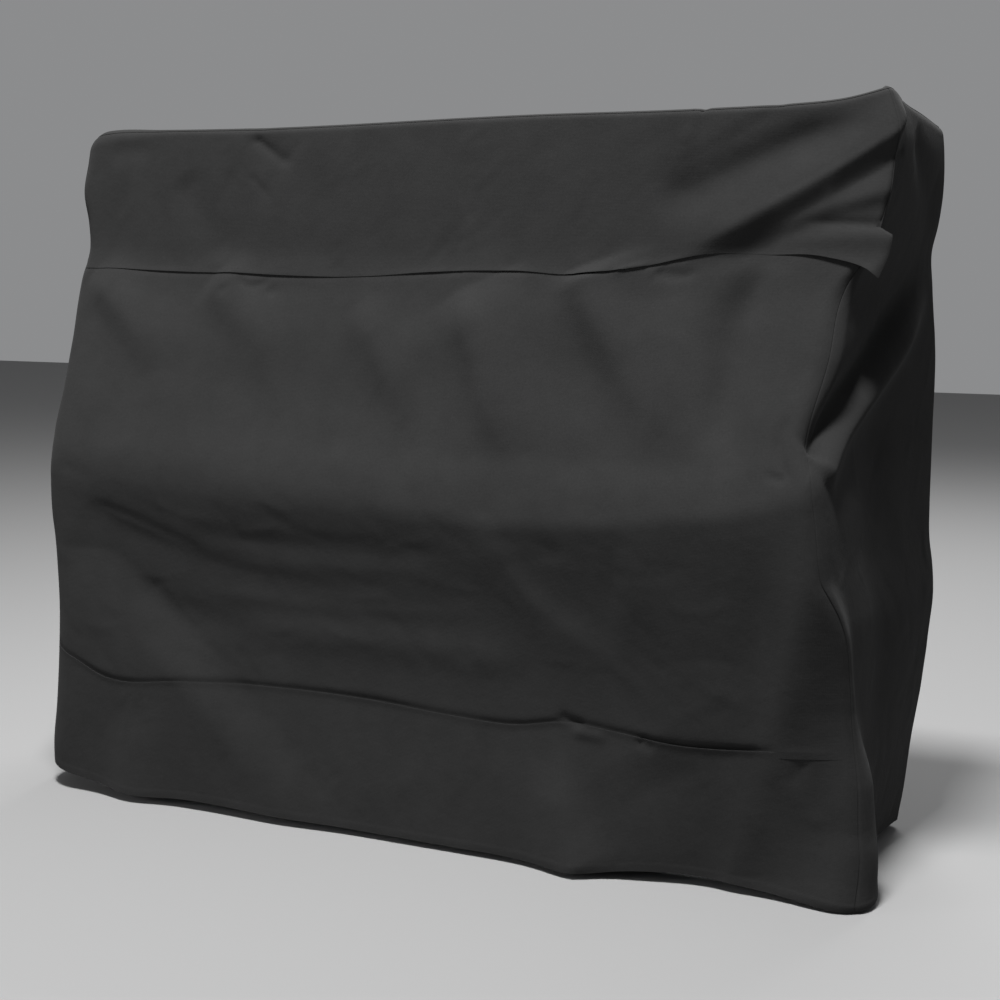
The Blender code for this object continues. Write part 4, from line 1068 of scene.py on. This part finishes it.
# ---------------------------------------------------------------- studio
@dataclass(frozen=True)
class Camera:
    """The camera, placed in the cover's own terms: x from the middle, y from the front, z from the hem."""

    place: tuple[float, float, float] = (1.41, -2.531, 0.949)
    yaw: float = 0.4464
    pitch: float = 0.1211
    roll: float = 0.0108
    lens: float = 60.84
    sensor: float = 36.0

    def build(self, cut: Cut) -> bpy.types.Object:
        """Adds the camera and makes it the scene's own."""
        forward = Vector((-math.sin(self.yaw) * math.cos(self.pitch),
                          math.cos(self.yaw) * math.cos(self.pitch), -math.sin(self.pitch)))
        level = Vector((math.cos(self.yaw), math.sin(self.yaw), 0.0))
        upright = level.cross(forward)
        right = level * math.cos(self.roll) + upright * math.sin(self.roll)
        up = upright * math.cos(self.roll) - level * math.sin(self.roll)
        data = bpy.data.cameras.new("camera")
        data.lens = self.lens
        data.sensor_width = self.sensor
        camera = add_object("camera", data)
        turn = Matrix((right, up, -forward)).transposed().to_4x4()
        camera.matrix_world = Matrix.Translation(Vector(self.place) - Vector(cut.seat)) @ turn
        bpy.context.scene.camera = camera
        return camera


@dataclass(frozen=True)
class SoftBox:
    """A soft square light, placed in the cover's own terms and aimed at a point of the cover."""

    name: str
    place: tuple[float, float, float]
    target: tuple[float, float, float]
    size: float
    power: float
    colour: str = "ffffff"

    def build(self, cut: Cut) -> bpy.types.Object:
        """Adds the light."""
        data = bpy.data.lights.new(self.name, "AREA")
        data.energy = self.power
        data.size = self.size
        data.color = linear(self.colour)[:3]
        light = add_object(self.name, data)
        place, target = (Vector(p) - Vector(cut.seat) for p in (self.place, self.target))
        light.location = place
        light.rotation_euler = (target - place).to_track_quat("-Z", "Y").to_euler()
        return light


@dataclass
class Studio:
    """The pale floor, the soft lights, the sky and the camera."""

    camera: Camera = Camera()
    lights: tuple[SoftBox, ...] = (
        SoftBox("key", (0.38, -1.50, 5.40), (0.0, 0.1, 0.65), 0.9, 665.0),
        SoftBox("back", (0.00, 4.20, 4.60), (0.0, 0.4, 0.60), 2.6, 240.0),
        SoftBox("left", (-2.60, -2.60, 1.10), (0.0, 0.1, 0.50), 1.2, 32.0),
    )
    sky: str = "f3f4f6"
    sky_strength: float = 0.29
    floor_size: float = 30.0
    floor_drop: float = 0.003       # the floor lies this far below the hem's lowest point

    def build(self, cut: Cut) -> None:
        """Builds the studio round the cover."""
        self.camera.build(cut)
        for light in self.lights:
            light.build(cut)
        world = bpy.data.worlds.new("studio_sky")
        world.use_nodes = True
        background = world.node_tree.nodes["Background"]
        background.inputs["Color"].default_value = linear(self.sky)
        background.inputs["Strength"].default_value = self.sky_strength
        bpy.context.scene.world = world
        bpy.ops.mesh.primitive_plane_add(size=self.floor_size,
                                         location=(0.0, 0.0, CAD_BOX[0].z - self.floor_drop))
        floor = bpy.context.object
        floor.name = "studio_floor"
        floor.data.materials.append(MattPaint().material())
        bpy.context.scene.view_settings.view_transform = "Standard"


# ---------------------------------------------------------------- the cover
def front_head(girth: Array) -> Array:
    """The front panel's upper edge: the upper seam, and higher where it runs up behind the flap."""
    rise = CUT.flap_rise * eased((girth - CUT.flap_start) / CUT.flap_span)
    return read_table(UPPER_SEAM, "height", girth) + rise


def cover_panels(cut: Cut) -> list[Panel]:
    """The cover's seven panels."""
    hem_edge = Edge(offset=0.0, hem=0.018)
    under = Edge(offset=-0.0013, reach=0.0016)
    front = dict(first=-cut.half, last=cut.half)
    return [
        TopPanel("top_cloth", "top_panel", (1.58, 0.40)),
        WallPanel("hood_cloth", "hood", (1.60, 0.30), **front, low=reader(UPPER_SEAM),
                  low_edge=Edge(offset=0.0014, reach=0.007, show=UPPER_SHOW), extra=FLAP, flare=Flare()),
        WallPanel("front_cloth", "front_panel", (1.58, 0.86), **front, low=reader(LOWER_SEAM),
                  high=front_head,
                  low_edge=Edge(offset=-0.0034, reach=0.007, allowance=0.010, show=LOWER_SHOW),
                  high_edge=Edge(offset=-0.0026, reach=0.007, show=UPPER_SHOW)),
        WallPanel("band_cloth", "front_band", (1.60, 0.28), **front, high=reader(LOWER_SEAM),
                  low_edge=hem_edge, high_edge=Edge(offset=0.0016, reach=0.007, show=LOWER_SHOW)),
        WallPanel("right_cloth", "side_right", (0.56, 1.30), 0.58, first=cut.half, last=cut.side_end,
                  low_edge=hem_edge, side_edge=under, tucked=True),
        WallPanel("left_cloth", "side_left", (0.56, 1.30), 0.58, first=-cut.side_end, last=-cut.half,
                  low_edge=hem_edge, side_edge=under, tucked=True),
        WallPanel("back_cloth", "back_panel", (1.60, 1.28), first=cut.side_end, last=cut.back_end,
                  low_edge=hem_edge, spacing=0.009),
    ]


def main() -> None:
    """Builds the cover's panels in order, then the studio."""
    logging.basicConfig(level=logging.INFO, format="%(name)s: %(message)s")
    skin = Skin()
    cloth = WovenPolyester().material()
    for panel in cover_panels(CUT):
        panel.dress(panel.build(skin), cloth)
    Studio().build(CUT)


if __name__ == "__main__":
    main()
